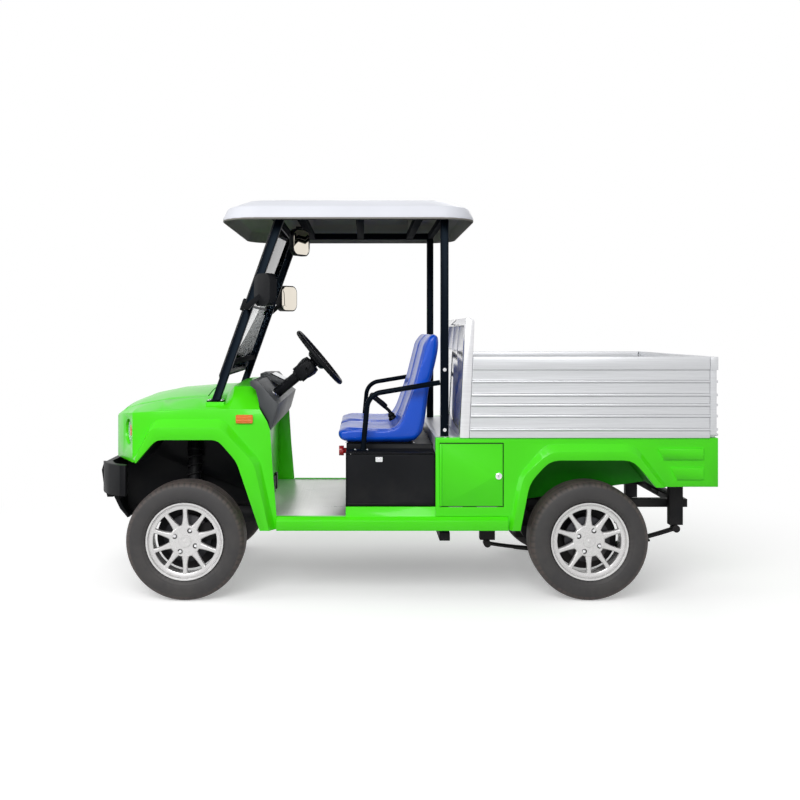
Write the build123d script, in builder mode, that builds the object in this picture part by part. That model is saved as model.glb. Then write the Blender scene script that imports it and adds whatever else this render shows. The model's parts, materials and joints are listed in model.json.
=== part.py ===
"""Electric mini truck: an open two-seat cab with a canopy, and a cargo bed, on a tubular ladder frame.

Millimetres. +X is forward, +Y is left, +Z is up. The origin is on the ground under the middle of the truck.
Heights are drawn from a datum GROUND_DROP above the ground, and write() stands each piece on the ground.
Left-hand pieces are drawn first and mirrored across the XZ plane.
"""

import os
from math import cos, radians, sin

from build123d import *

# Driving dimensions of the whole truck
LENGTH = 2950
BODY_WIDTH = 1250
WHEELBASE = 1910
FRONT_AXLE_X = 1042
REAR_AXLE_X = FRONT_AXLE_X - WHEELBASE
GROUND_DROP = 18
FLOOR_Z = 378
SKIN = 6
FIT = 0.3
HINGE_R = 6
PANEL_GAP = 5

FLARE_Y = BODY_WIDTH / 2
SIDE_Y = FLARE_Y - 25
FENDER_Y = FLARE_Y - 40
FRONT_X = 1475
REAR_X = FRONT_X - LENGTH

# Wheels and hubs
TYRE_R = 280
AXLE_Z = TYRE_R - GROUND_DROP
TYRE_W = 165
TREAD_W = 116
SHOULDER_R = 266
SHOULDER_W = 152
BULGE_R = 222
RIM_R = 183
RIM_W = 146
BEAD_W = 132
BARREL_R = 160
TRACK = 1040
WHEEL_Y = TRACK / 2
HUB_FACE = 36
SPOKE_T = 26
SPOKE_COUNT = 10
SPOKE_TIP_W = 19
SPOKE_ROOT_W = 28
WINDOW_IN_R = 84
WINDOW_OUT_R = 150
CAP_R = 29
LUG_COUNT = 4
LUG_PCD = 108
LUG_R = 9
HUB_R = 40
SPINDLE_R = 15
DISC_R = 112
DISC_T = 10
DISC_OUT = -22
DRUM_R = 108
DRUM_W = 52

# Front suspension and steering
KINGPIN_Y = WHEEL_Y - 65
KINGPIN_R = 10
ARM_T = 20
ARM_RISE = 85
ARM_SPREAD = 115
ARM_EYE_R = 22
KNUCKLE_W = 38
STEER_ARM = 110
STEER_ARM_T = 18
RACK_R = 11
RACK_HOUSING_R = 24
RACK_HOUSING_HALF = 190
TIE_END_R = 15
SHOCK_R = 27
SHOCK_TOP_Z = 700

# Ladder frame
RAIL_W = 50
RAIL_TOP = FLOOR_Z - SKIN
RAIL_H = 80
FRONT_RAIL_Y = 240
MAIN_RAIL_Y = 350
REAR_RAIL_Z = (386, 426)
BED_RAIL_H = 40
FRAME_JOINT_X = 640
REAR_STEP_X = REAR_AXLE_X + 308
HANGER_W = 40
SPRING_W = 50
SPRING_Y = MAIN_RAIL_Y + RAIL_W / 2 + HANGER_W / 2
LEAF_T = 9
EYE_R = 18

# Bodywork heights and stations
SILL_Z = 320
SILL_CREASE_Z = 367
STRIP_Z = 428
BED_Z = 752
REAR_HEM_Z = 522
CAB_REAR_X = -141
SEAT_FRONT_X = 282
COWL_REAR_X = 607
BULKHEAD_X = 700
BUMPER_TOP_Z = 622
HOOD_REAR_X = 958
HOOD_FRONT_X = 1372
HOOD_HALF = 425


def side_plane(y):
    """Sketch plane at that Y, with X and Z as its axes; it extrudes towards -Y."""
    return Plane(origin=(0, y, 0), x_dir=(1, 0, 0), z_dir=(0, -1, 0))


def write(part, name):
    """Stands a piece on the ground and writes it as a STEP file."""
    piece = part.moved(Location((0, 0, GROUND_DROP)))
    piece.label = name
    export_step(piece, f"parts/{name}.step")


def both_sides(left, name):
    """Writes a left-hand piece and its mirror image as two nodes."""
    write(left, f"{name}_left")
    write(mirror(left, about=Plane.XZ), f"{name}_right")


def block(x, y, z, mode=Mode.ADD):
    """A box between the low and high bounds of x, y and z."""
    with Locations(((x[0] + x[1]) / 2, (y[0] + y[1]) / 2, (z[0] + z[1]) / 2)):
        return Box(abs(x[1] - x[0]), abs(y[1] - y[0]), abs(z[1] - z[0]), mode=mode)


def closed(points):
    """The face inside a polygon."""
    return Polygon(*points, align=None)


def eased(points, reach):
    """An open line of points with each corner between its ends swapped for a short curve of four points."""
    line = [points[0]]
    for before, corner, after in zip(points, points[1:], points[2:]):
        middle = Vector(*corner)
        start = middle + (Vector(*before) - middle).normalized() * reach
        end = middle + (Vector(*after) - middle).normalized() * reach
        for t in (0, 1 / 3, 2 / 3, 1):
            spot = start * (1 - t) ** 2 + middle * 2 * t * (1 - t) + end * t ** 2
            line.append((spot.X, spot.Y))
    return line + [points[-1]]


def swelled(points, centre, distance):
    """Points moved away from a centre by that distance."""
    moved = []
    for point in points:
        away = (Vector(*point) - Vector(*centre)).normalized() * distance
        moved.append((point[0] + away.X, point[1] + away.Y))
    return moved


os.makedirs("parts", exist_ok=True)

# Ladder frame: columns are x low, x high, y centre, z low, z high
rail_table = [
    (FRAME_JOINT_X + RAIL_W, 1330, FRONT_RAIL_Y, RAIL_TOP - RAIL_H, RAIL_TOP),
    (REAR_STEP_X - RAIL_W, FRAME_JOINT_X, MAIN_RAIL_Y, RAIL_TOP - RAIL_H, RAIL_TOP),
    (REAR_X + 75, REAR_STEP_X - RAIL_W, MAIN_RAIL_Y, *REAR_RAIL_Z),
    (REAR_X + 45, -310, MAIN_RAIL_Y, BED_Z - BED_RAIL_H, BED_Z),
]
with BuildPart() as frame_rails:
    for x0, x1, y, z0, z1 in rail_table:
        block((x0, x1), (y - RAIL_W / 2, y + RAIL_W / 2), (z0, z1))
    mirror(about=Plane.XZ)
write(frame_rails.part, "frame_rails")

# Cross members: columns are x centre, depth, half length, z low, z high
POST_X = -190
POST_Y = 505
POST_W = 38
OUTRIGGER_H = 40
LOWER_CROSS_Z = (AXLE_Z - 100, AXLE_Z - 70)
HITCH_SPACING = 120
HITCH_HOLE_R = 6.5
cross_table = [
    (1345, 30, FRONT_RAIL_Y + RAIL_W / 2, RAIL_TOP - RAIL_H, RAIL_TOP),
    (FRONT_AXLE_X, 2 * ARM_SPREAD + 20, FRONT_RAIL_Y + RAIL_W / 2, *LOWER_CROSS_Z),
    (FRAME_JOINT_X + RAIL_W / 2, RAIL_W, MAIN_RAIL_Y + RAIL_W / 2, RAIL_TOP - RAIL_H, RAIL_TOP),
    (SEAT_FRONT_X - RAIL_W / 2, RAIL_W, MAIN_RAIL_Y - RAIL_W / 2, RAIL_TOP - RAIL_H, RAIL_TOP),
    (POST_X, RAIL_W, POST_Y + POST_W / 2, RAIL_TOP - RAIL_H - OUTRIGGER_H, RAIL_TOP - RAIL_H),
    (REAR_X + 100, RAIL_W, MAIN_RAIL_Y - RAIL_W / 2, *REAR_RAIL_Z),
    (-340, RAIL_W, MAIN_RAIL_Y - RAIL_W / 2, BED_Z - BED_RAIL_H, BED_Z),
    (REAR_X + 75, RAIL_W, MAIN_RAIL_Y - RAIL_W / 2, BED_Z - BED_RAIL_H, BED_Z),
]
with BuildPart() as frame_cross_members:
    for x, depth, half, z0, z1 in cross_table:
        block((x - depth / 2, x + depth / 2), (-half, half), (z0, z1))
    hitch_at = (REAR_X + 25, 0, sum(REAR_RAIL_Z) / 2)
    with BuildSketch(Plane(origin=hitch_at, x_dir=(0, 1, 0), z_dir=(1, 0, 0))):
        with GridLocations(HITCH_SPACING, 1, 2, 1):
            Circle(HITCH_HOLE_R)
    extrude(amount=120, mode=Mode.SUBTRACT)
write(frame_cross_members.part, "frame_cross_members")

# Uprights and spring hangers: columns are x centre, depth, y low, y high, z low, z high
RAIL_IN = MAIN_RAIL_Y - RAIL_W / 2
RAIL_OUT = MAIN_RAIL_Y + RAIL_W / 2
FRONT_IN = FRONT_RAIL_Y - RAIL_W / 2
FRONT_OUT = FRONT_RAIL_Y + RAIL_W / 2
SPRING_FRONT = (REAR_AXLE_X + 460, AXLE_Z - 48)
SPRING_REAR = (REAR_AXLE_X - 464, AXLE_Z + 25)
upright_table = [
    (-335, RAIL_W, RAIL_IN, RAIL_OUT, RAIL_TOP, BED_Z - BED_RAIL_H),
    (REAR_STEP_X - RAIL_W / 2, RAIL_W, RAIL_IN, RAIL_OUT, RAIL_TOP, BED_Z - BED_RAIL_H),
    (SPRING_FRONT[0], 74, RAIL_OUT, RAIL_OUT + HANGER_W, SPRING_FRONT[1] + EYE_R + 0.1, RAIL_TOP),
    (SPRING_REAR[0], 66, RAIL_OUT, RAIL_OUT + HANGER_W, SPRING_REAR[1] + EYE_R + 0.1, BED_Z),
    (FRONT_AXLE_X, RAIL_W, FRONT_IN, FRONT_OUT, RAIL_TOP, SHOCK_TOP_Z + 20),
    (FRONT_AXLE_X - 50, 30, FRONT_IN, FRONT_OUT, LOWER_CROSS_Z[1], RAIL_TOP - RAIL_H),
    (FRONT_AXLE_X + 50, 30, FRONT_IN, FRONT_OUT, LOWER_CROSS_Z[1], RAIL_TOP - RAIL_H),
]
with BuildPart() as frame_uprights:
    for x, depth, y0, y1, z0, z1 in upright_table:
        block((x - depth / 2, x + depth / 2), (y0, y1), (z0, z1))
    mirror(about=Plane.XZ)
write(frame_uprights.part, "frame_uprights")

# Nose, fenders and scuttle as one moulding, with the nose corners cut off straight in plan
CHAMFER_FRONT = (1418, 340)
CHAMFER_REAR = (1288, FENDER_Y)
corner_slope = (CHAMFER_REAR[1] - CHAMFER_FRONT[1]) / (CHAMFER_FRONT[0] - CHAMFER_REAR[0])
corner_half = CHAMFER_FRONT[1] + (CHAMFER_FRONT[0] - HOOD_FRONT_X) * corner_slope
# Columns are x, half width, shoulder z, seam half width, seam z, crown z
cowl_stations = [
    (*CHAMFER_FRONT, 836, 326, 843, 852),
    (HOOD_FRONT_X, corner_half, 856, 384, 872, 896),
    (*CHAMFER_REAR, 868, 420, 898, 929),
    (1154, 585, 877, 430, 922, 956),
    (HOOD_REAR_X, 585, 885, 430, 938, 972),
    (862, 585, 886, 430, 942, 976),
    (822, 585, 886, 470, 988, 999),
    (590, 585, 884, 470, 986, 998),
]
FRONT_EASE = 30
front_arch = eased([(1264, 636), (1171, 745), (881, 745), (793, 644), (684, SILL_Z)], FRONT_EASE)
front_fold = eased([(1276, 642), (1191, 802), (868, 802), (712, 636), (640, SILL_Z)], FRONT_EASE)
front_outer = eased([(1288, 652), (1183, 842), (858, 842), (684, 644), (612, SILL_Z)], FRONT_EASE)
cowl_rear_edge = [
    (737, 997), (712, 976), (691, 892), (653, 827), (639, 786), (627, 599), (COWL_REAR_X, 364),
]
PAD_TOP_Z = 917
PILLAR_FOOT_X = 906
PAD_X = (PILLAR_FOOT_X - 43, PILLAR_FOOT_X + 43)
LAMP_R = 66
LAMP_RIM = 6
LAMP_RECESS = 14
LAMP_Z = 775
LAMP_X = 1322
LAMP_AT = (LAMP_X, CHAMFER_FRONT[1] + (CHAMFER_FRONT[0] - LAMP_X) * corner_slope)
GRILLE_SLOTS = 4
GRILLE_HALF = 230
GRILLE_SLOT_H = 16
GRILLE_PITCH = 34
GRILLE_Z = 700


with BuildPart() as cowl_form:
    for inset, mode in ((0, Mode.ADD), (SKIN, Mode.SUBTRACT)):
        for x, half, shoulder, seam, seam_z, crown in cowl_stations:
            out = half - inset
            base = SILL_Z - 10 * inset
            with BuildSketch(Plane(origin=(x - inset, 0, 0), x_dir=(0, 1, 0), z_dir=(1, 0, 0))):
                with BuildLine():
                    ThreePointArc((-seam, seam_z - inset), (0, crown - inset), (seam, seam_z - inset))
                    Polyline((seam, seam_z - inset), (out, shoulder - inset), (out, base))
                    Polyline((out, base), (-out, base), (-out, shoulder - inset), (-seam, seam_z - inset))
                make_face()
        loft(ruled=True, mode=mode)
    with BuildSketch(side_plane(0)):
        closed([(1600, 636), *front_arch, (684, 200), (1600, 200)])
    extrude(amount=700, both=True, mode=Mode.SUBTRACT)
    with BuildSketch(side_plane(0)):
        closed([(500, 1100), (740, 1100), *cowl_rear_edge, (COWL_REAR_X, 200), (500, 200)])
    extrude(amount=700, both=True, mode=Mode.SUBTRACT)

hood_plan = [
    (HOOD_FRONT_X - PANEL_GAP, 378),
    (1288, HOOD_HALF - 8),
    (1154, HOOD_HALF),
    (HOOD_REAR_X, HOOD_HALF),
]
hood_bay = [
    (HOOD_FRONT_X, hood_plan[0][1] + PANEL_GAP),
    *[(x, y + PANEL_GAP) for x, y in hood_plan[1:-1]],
    (HOOD_REAR_X - HINGE_R - FIT, HOOD_HALF + PANEL_GAP),
]
HOOD_AXIS_Z = 969
HOOD_BARREL = 240

with BuildPart() as hood:
    add(cowl_form.part)
    with BuildSketch(Plane.XY.offset(820)):
        closed(hood_plan + [(x, -y) for x, y in reversed(hood_plan)])
    extrude(amount=300, mode=Mode.INTERSECT)
    with BuildSketch(side_plane(HOOD_BARREL / 2)):
        with Locations((HOOD_REAR_X, HOOD_AXIS_Z)):
            Circle(HINGE_R)
    extrude(amount=HOOD_BARREL)
write(hood.part, "hood")

chamfer_dir = (Vector(*CHAMFER_REAR) - Vector(*CHAMFER_FRONT)).normalized()
chamfer_out = Vector(chamfer_dir.Y, -chamfer_dir.X, 0)


def lamp_plane(x, y, z):
    """Plane on the angled nose corner, facing outwards."""
    return Plane(origin=(x, y, z), x_dir=chamfer_dir, z_dir=chamfer_out)


with BuildPart() as cowl_left_flare:
    with BuildSketch(side_plane(FENDER_Y - 3)):
        closed(front_outer + list(reversed(front_arch)))
    with BuildSketch(side_plane(FLARE_Y)):
        closed(front_fold + list(reversed(front_arch)))
    loft(ruled=True)
    with BuildSketch(Plane.XY.offset(600)):
        closed([(1290, 581), (1266, FLARE_Y + 1), (1400, FLARE_Y + 1), (1400, 581)])
    extrude(amount=300, mode=Mode.SUBTRACT)

with BuildPart() as front_cowl:
    add(cowl_form.part)
    with BuildSketch(Plane.XY.offset(820)):
        closed(hood_bay + [(x, -y) for x, y in reversed(hood_bay)])
    extrude(amount=300, mode=Mode.SUBTRACT)
    grille_at = (1400, 0, GRILLE_Z + 1.5 * GRILLE_PITCH)
    with BuildSketch(Plane(origin=grille_at, x_dir=(0, 1, 0), z_dir=(1, 0, 0))):
        with GridLocations(2 * GRILLE_HALF, GRILLE_PITCH, 1, GRILLE_SLOTS):
            SlotOverall(2 * GRILLE_HALF, GRILLE_SLOT_H)
    extrude(amount=60, mode=Mode.SUBTRACT)
    add(cowl_left_flare.part)
    mirror(cowl_left_flare.part, about=Plane.XZ)
    for side in (1, -1):
        pad_y = (side * (POST_Y - 40), side * (POST_Y + 40))
        block(PAD_X, pad_y, (880, PAD_TOP_Z))
        block(PAD_X, pad_y, (PAD_TOP_Z, 980), mode=Mode.SUBTRACT)
    with BuildSketch(lamp_plane(LAMP_AT[0], LAMP_AT[1], LAMP_Z)) as lamp_hole:
        Circle(LAMP_R + FIT)
    extrude(amount=40, both=True, mode=Mode.SUBTRACT)
    mirror_hole = mirror(lamp_hole.sketch, about=Plane.XZ)
    extrude(mirror_hole, amount=40, both=True, mode=Mode.SUBTRACT)
write(front_cowl.part, "front_cowl")

# Headlamps: round bowls with a deep rim, set in the nose corners
with BuildPart() as headlamps:
    with BuildSketch(lamp_plane(*LAMP_AT, LAMP_Z)):
        Circle(LAMP_R)
    extrude(amount=-60)
    with BuildSketch(lamp_plane(*LAMP_AT, LAMP_Z)):
        Circle(LAMP_R - LAMP_RIM)
    extrude(amount=-LAMP_RECESS, mode=Mode.SUBTRACT)
    mirror(about=Plane.XZ)
write(headlamps.part, "headlamps")

# Amber lamps: a turn lamp in the outer side of each headlamp bowl, and a marker on each fender
INDICATOR_SIZE = (24, 50)
INDICATOR_OFFSET = (36, 8)
MARKER_X = (720, 800)
MARKER_Z = (820, 860)
with BuildPart() as amber_lamps:
    with BuildSketch(lamp_plane(*LAMP_AT, LAMP_Z).offset(FIT - LAMP_RECESS)):
        with Locations(INDICATOR_OFFSET):
            RectangleRounded(*INDICATOR_SIZE, 6)
    extrude(amount=LAMP_RECESS - 2)
    with BuildSketch(side_plane(FENDER_Y)):
        with Locations((sum(MARKER_X) / 2, sum(MARKER_Z) / 2)):
            RectangleRounded(MARKER_X[1] - MARKER_X[0], MARKER_Z[1] - MARKER_Z[0], 6)
    extrude(amount=-9)
    mirror(about=Plane.XZ)
write(amber_lamps.part, "amber_lamps")

# Front bumper
BUMPER_HALF = 430
APRON_HALF = 330
bumper_beam = [
    (1424, BUMPER_TOP_Z), (1450, BUMPER_TOP_Z), (1466, BUMPER_TOP_Z - 14), (FRONT_X, 578),
    (1467, 518), (1448, 446), (1420, 446),
]
bumper_apron = [(1448, 446), (1412, 371), (1374, 326), (1364, 330), (1396, 380), (1426, 446)]
bumper_end = [
    (1467, 428), (1446, 488), (1410, 545), (1345, 600), (1318, 600), (1318, 560), (1384, 520), (1422, 428),
]
with BuildPart() as front_bumper:
    with BuildSketch(side_plane(0)):
        closed(bumper_beam)
    extrude(amount=BUMPER_HALF, both=True)
    with BuildSketch(side_plane(0)):
        closed(bumper_apron)
    extrude(amount=APRON_HALF, both=True)
    with BuildSketch(Plane.XY.offset(478)):
        closed(bumper_end)
    extrude(amount=BUMPER_TOP_Z - 478)
    mirror(about=Plane.XZ)
    block((1360, 1402), (-150, 150), (334, RAIL_TOP))
write(front_bumper.part, "front_bumper")

# Bulkhead, floor and sills
CAB_HALF = FENDER_Y - SKIN - FIT
FLOOR_HALF = 575
DASH_BASE_Z = 782
with BuildPart() as bulkhead:
    block((BULKHEAD_X, BULKHEAD_X + 5), (-CAB_HALF, CAB_HALF), (FLOOR_Z, DASH_BASE_Z))
write(bulkhead.part, "bulkhead")

with BuildPart() as floor_plate:
    block((SEAT_FRONT_X + FIT, BULKHEAD_X + 5), (-FLOOR_HALF, FLOOR_HALF), (RAIL_TOP, FLOOR_Z))
write(floor_plate.part, "floor_plate")

SILL_REAR_X = REAR_AXLE_X + 388
sill_section = [
    (FLOOR_HALF, SILL_Z), (FLARE_Y, SILL_Z), (FLARE_Y, SILL_CREASE_Z), (SIDE_Y, 383), (FLOOR_HALF, 383),
]
with BuildPart() as sills:
    with BuildSketch(Plane(origin=(SILL_REAR_X, 0, 0), x_dir=(0, 1, 0), z_dir=(1, 0, 0))):
        closed(sill_section)
    extrude(amount=COWL_REAR_X - FIT - SILL_REAR_X)
    block((CAB_REAR_X + FIT, SEAT_FRONT_X), (FLOOR_HALF + 10, SIDE_Y), (380, STRIP_Z))
    mirror(about=Plane.XZ)
write(sills.part, "sills")

# Dashboard
DASH_HALF = 568
DASH_CORE_HALF = 455
dash_section = [
    (735, 996), (735, 1018), (698, 1018), (682, 1002), (649, 961), (619, 925), (599, 911),
    (627, 810), (642, DASH_BASE_Z), (648, 826), (688, 892), (709, 976),
]
pod_section = [(734, 1015), (734, 1034), (694, 1037), (598, 990), (612, 962), (684, 1000)]
POD_Y = (-130, 130)
with BuildPart() as dashboard:
    with BuildSketch(side_plane(0)):
        closed(dash_section)
    extrude(amount=DASH_HALF, both=True)
    with BuildSketch(side_plane(0)):
        closed([(642, DASH_BASE_Z), (770, DASH_BASE_Z), (770, 970), (690, 970), (630, 850)])
    extrude(amount=DASH_CORE_HALF, both=True)
    with BuildSketch(side_plane(POD_Y[1])):
        closed(pod_section)
    extrude(amount=POD_Y[1] - POD_Y[0])
write(dashboard.part, "dashboard")

# Steering column and wheel, on one axis
COLUMN_BASE = (634, 280, 943)
WHEEL_CENTRE = (420, 280, 1122)
COLUMN_R = 26
SHAFT_R = 12
SHAFT_IN = 55
STEER_RIM_R = 160
STEER_RIM_T = 13
HUB_DEPTH = 36
column_dir = (Vector(WHEEL_CENTRE) - Vector(COLUMN_BASE)).normalized()
COLUMN_LEN = (Vector(WHEEL_CENTRE) - Vector(COLUMN_BASE)).length - HUB_DEPTH - 2


def column_plane(distance):
    """Plane square to the column, that far up from its base."""
    origin = Vector(COLUMN_BASE) + column_dir * distance
    return Plane(origin=origin, x_dir=(0, 1, 0), z_dir=column_dir)


with BuildPart() as steering_column:
    with BuildSketch(column_plane(0.9)):
        Circle(COLUMN_R)
    extrude(amount=COLUMN_LEN - 0.9)
    with BuildSketch(column_plane(COLUMN_LEN - 100)):
        RectangleRounded(110, 84, 20)
    extrude(amount=85)
    with BuildSketch(column_plane(COLUMN_LEN - SHAFT_IN - 2)):
        Circle(SHAFT_R + FIT)
    extrude(amount=SHAFT_IN + 2, mode=Mode.SUBTRACT)
write(steering_column.part, "steering_column")

steer_spokes = [90, 210, 330]
with BuildPart() as steering_wheel:
    with BuildSketch(column_plane(COLUMN_LEN - SHAFT_IN)):
        Circle(SHAFT_R)
    extrude(amount=SHAFT_IN + 10)
    with BuildSketch(column_plane(COLUMN_LEN + 2)):
        Circle(42)
    extrude(amount=HUB_DEPTH)
    for angle in steer_spokes:
        with BuildSketch(column_plane(COLUMN_LEN + HUB_DEPTH - 14)):
            with PolarLocations(STEER_RIM_R / 2, 1, start_angle=angle):
                Rectangle(STEER_RIM_R, 26)
        extrude(amount=10)
    rim_centre = Vector(COLUMN_BASE) + column_dir * (COLUMN_LEN + HUB_DEPTH + 2)
    rim_normal = column_dir.cross(Vector(0, 1, 0))
    with BuildSketch(Plane(origin=rim_centre, x_dir=(0, 1, 0), z_dir=rim_normal)):
        with Locations((STEER_RIM_R, 0)):
            RegularPolygon(STEER_RIM_T, 6)
    revolve(axis=Axis(rim_centre, column_dir))
write(steering_wheel.part, "steering_wheel")

# Seat base: a box of sheet panels, open at the sides, with a raised deck under the seats
BOX_HALF = 590
BOX_TOP = 681
DECK_HALF = 430
DECK_TOP = 705
PANEL_T = 5
DOOR_AXIS_Z = STRIP_Z + 12
with BuildPart() as seat_box:
    block((SEAT_FRONT_X - PANEL_T, SEAT_FRONT_X), (-BOX_HALF, BOX_HALF), (STRIP_Z + FIT, BOX_TOP))
    block((SEAT_FRONT_X - PANEL_T, SEAT_FRONT_X), (-FLOOR_HALF, FLOOR_HALF), (RAIL_TOP, BOX_TOP))
    block((CAB_REAR_X, CAB_REAR_X + PANEL_T), (-BOX_HALF, BOX_HALF), (STRIP_Z + FIT, BOX_TOP))
    block((CAB_REAR_X, CAB_REAR_X + PANEL_T), (-FLOOR_HALF, FLOOR_HALF), (RAIL_TOP, BOX_TOP))
    block((CAB_REAR_X, SEAT_FRONT_X), (-BOX_HALF, BOX_HALF), (BOX_TOP - PANEL_T, BOX_TOP))
    block((CAB_REAR_X + 3, SEAT_FRONT_X), (-DECK_HALF, DECK_HALF), (BOX_TOP - 1, DECK_TOP))
    block((CAB_REAR_X, SEAT_FRONT_X), (-FLOOR_HALF, FLOOR_HALF), (RAIL_TOP, RAIL_TOP + PANEL_T))
    for side in (1, -1):
        ledge_y = (side * 560, side * BOX_HALF)
        block((CAB_REAR_X, SEAT_FRONT_X), ledge_y, (STRIP_Z + FIT, DOOR_AXIS_Z - HINGE_R - FIT))
write(seat_box.part, "seat_box")

# Drop-down battery doors on the sides of the seat base
DOOR_X0 = CAB_REAR_X + PANEL_T + 2
DOOR_X1 = SEAT_FRONT_X - PANEL_T - 2
with BuildPart() as battery_door:
    block((DOOR_X0, DOOR_X1), (BOX_HALF - PANEL_T, BOX_HALF), (DOOR_AXIS_Z, BOX_TOP - PANEL_T - 3))
    with BuildSketch(Plane(origin=(DOOR_X0, 0, 0), x_dir=(0, 1, 0), z_dir=(1, 0, 0))):
        with Locations((BOX_HALF, DOOR_AXIS_Z)):
            Circle(HINGE_R)
    extrude(amount=DOOR_X1 - DOOR_X0)
    block((110, 140), (BOX_HALF - 1, BOX_HALF + 8), (640, 662))
both_sides(battery_door.part, "battery_door")

with BuildPart() as battery_pack:
    block((-100, 250), (-430, 430), (RAIL_TOP + PANEL_T, 640))
    chamfer(battery_pack.edges().group_by(Axis.Z)[-1], 8)
write(battery_pack.part, "battery_pack")

# Two bucket seats
SEAT_W = 430
SEAT_Y = 238
seat_section = [
    (296, 709), (326, 740), (328, 786), (308, 810), (70, 798), (20, 822), (-18, 890), (-60, 1000),
    (-92, 1100), (-122, 1220), (-142, 1254), (-160, 1258), (-176, 1244), (-158, 1120), (-124, 1000), (-108, 880),
    (-94, 775), (-60, 709),
]
with BuildPart() as seats:
    with BuildSketch(side_plane(SEAT_Y + SEAT_W / 2)):
        closed(seat_section)
    extrude(amount=SEAT_W)
    chamfer(seats.edges().group_by(Axis.Y)[-1], 10)
    chamfer(seats.edges().group_by(Axis.Y)[0], 10)
    for y in (SEAT_Y - 140, SEAT_Y + 140):
        block((-40, 270), (y - 15, y + 15), (DECK_TOP, 712))
    mirror(about=Plane.XZ)
write(seats.part, "seats")

# Tubular armrests from the seat base to the rear posts
ARM_TUBE_R = 12.5
ARM_BEND = 80
with BuildPart() as armrests:
    with BuildLine():
        FilletPolyline((201, POST_Y, BOX_TOP + 3), (176, POST_Y, 950),
                       (POST_X + POST_W / 2 + 2.4, POST_Y, 1008), radius=ARM_BEND)
    with BuildSketch(Plane(origin=(201, POST_Y, BOX_TOP + 3), x_dir=(0, 1, 0), z_dir=(-25, 0, 266))):
        Circle(ARM_TUBE_R)
    sweep()
    block((170, 250), (POST_Y - 22, POST_Y + 22), (BOX_TOP, BOX_TOP + 6))
    mirror(about=Plane.XZ)
write(armrests.part, "armrests")

# Parking brake lever between the seats, and two pedals on the bulkhead
with BuildPart() as controls:
    block((-6, 58), (-14, 14), (DECK_TOP, 770))
    with BuildLine():
        FilletPolyline((28, 0, 760), (60, 0, 830), (146, 0, 902), radius=60)
    with BuildSketch(Plane(origin=(28, 0, 760), x_dir=(0, 1, 0), z_dir=(32, 0, 70))):
        Circle(9)
    sweep()
    for y, width in ((190, 55), (330, 80)):
        block((652, BULKHEAD_X), (y - 9, y + 9), (480, 500))
        block((640, 654), (y - width / 2, y + width / 2), (450, 530))
write(controls.part, "controls")

KNOB_Y = 250
KNOB_Z = 650
with BuildPart() as power_switch:
    with BuildSketch(Plane(origin=(SEAT_FRONT_X, KNOB_Y, KNOB_Z), x_dir=(0, 1, 0), z_dir=(1, 0, 0))):
        Circle(14)
    extrude(amount=24)
    with BuildSketch(Plane(origin=(SEAT_FRONT_X + 16, KNOB_Y, KNOB_Z), x_dir=(0, 1, 0), z_dir=(1, 0, 0))):
        Circle(25)
    extrude(amount=24)
write(power_switch.part, "power_switch")

# Canopy posts: raked front pillars and upright rear posts
ROOF_RAIL_Z = 1790
ROOF_RAIL_H = 34
PILLAR_HEAD_X = 598
PILLAR_FOOT = (PILLAR_FOOT_X, 922)
PILLAR_HEAD = (PILLAR_HEAD_X, ROOF_RAIL_Z)
pillar_run = PILLAR_HEAD[0] - PILLAR_FOOT[0]
pillar_rise = PILLAR_HEAD[1] - PILLAR_FOOT[1]
pillar_dir = Vector(pillar_run, 0, pillar_rise).normalized()
FOOT_T = 7
pillar_start = Vector(PILLAR_FOOT[0], POST_Y, PILLAR_FOOT[1]) - pillar_dir * 60
with BuildPart() as canopy_posts:
    with BuildSketch(Plane(origin=pillar_start, x_dir=(0, 1, 0), z_dir=pillar_dir)):
        Rectangle(POST_W, POST_W)
    extrude(amount=1000)
    block((PAD_X[0] + 2, PAD_X[1] - 2), (POST_Y - 36, POST_Y + 36), (PAD_TOP_Z, PAD_TOP_Z + FOOT_T))
    with BuildSketch(side_plane(0)):
        with Locations((800, PAD_TOP_Z - 100), (600, ROOF_RAIL_Z + 100)):
            Rectangle(600, 200)
    extrude(amount=700, both=True, mode=Mode.SUBTRACT)
    block((POST_X - POST_W / 2, POST_X + POST_W / 2), (POST_Y - POST_W / 2, POST_Y + POST_W / 2),
          (RAIL_TOP - RAIL_H, ROOF_RAIL_Z))
    mirror(about=Plane.XZ)
write(canopy_posts.part, "canopy_posts")

# Roof rails along the posts, cross bars between them, and a low bar between the front pillars
# Cross bar columns are x centre, depth, z low, z high
POST_IN = POST_Y - POST_W / 2
LOW_BAR_Z = (1090, 1117)
low_bar_x = PILLAR_FOOT[0] + pillar_run / pillar_rise * (sum(LOW_BAR_Z) / 2 - PILLAR_FOOT[1])
RAIL_TOP_Z = ROOF_RAIL_Z + ROOF_RAIL_H
bar_table = [
    (625, 30, ROOF_RAIL_Z, RAIL_TOP_Z),
    (500, 40, ROOF_RAIL_Z, RAIL_TOP_Z),
    (215, 40, ROOF_RAIL_Z, RAIL_TOP_Z),
    (-70, 40, ROOF_RAIL_Z, RAIL_TOP_Z),
    (-190, 30, ROOF_RAIL_Z, RAIL_TOP_Z),
    (low_bar_x, 24, *LOW_BAR_Z),
]
with BuildPart() as canopy_bars:
    for side in (1, -1):
        rail_y = (side * POST_IN, side * (POST_IN + POST_W))
        block((POST_X - POST_W / 2, 642), rail_y, (ROOF_RAIL_Z, RAIL_TOP_Z))
    for x, depth, z0, z1 in bar_table:
        block((x - depth / 2, x + depth / 2), (-POST_IN + FIT, POST_IN - FIT), (z0, z1))
write(canopy_bars.part, "canopy_bars")

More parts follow.
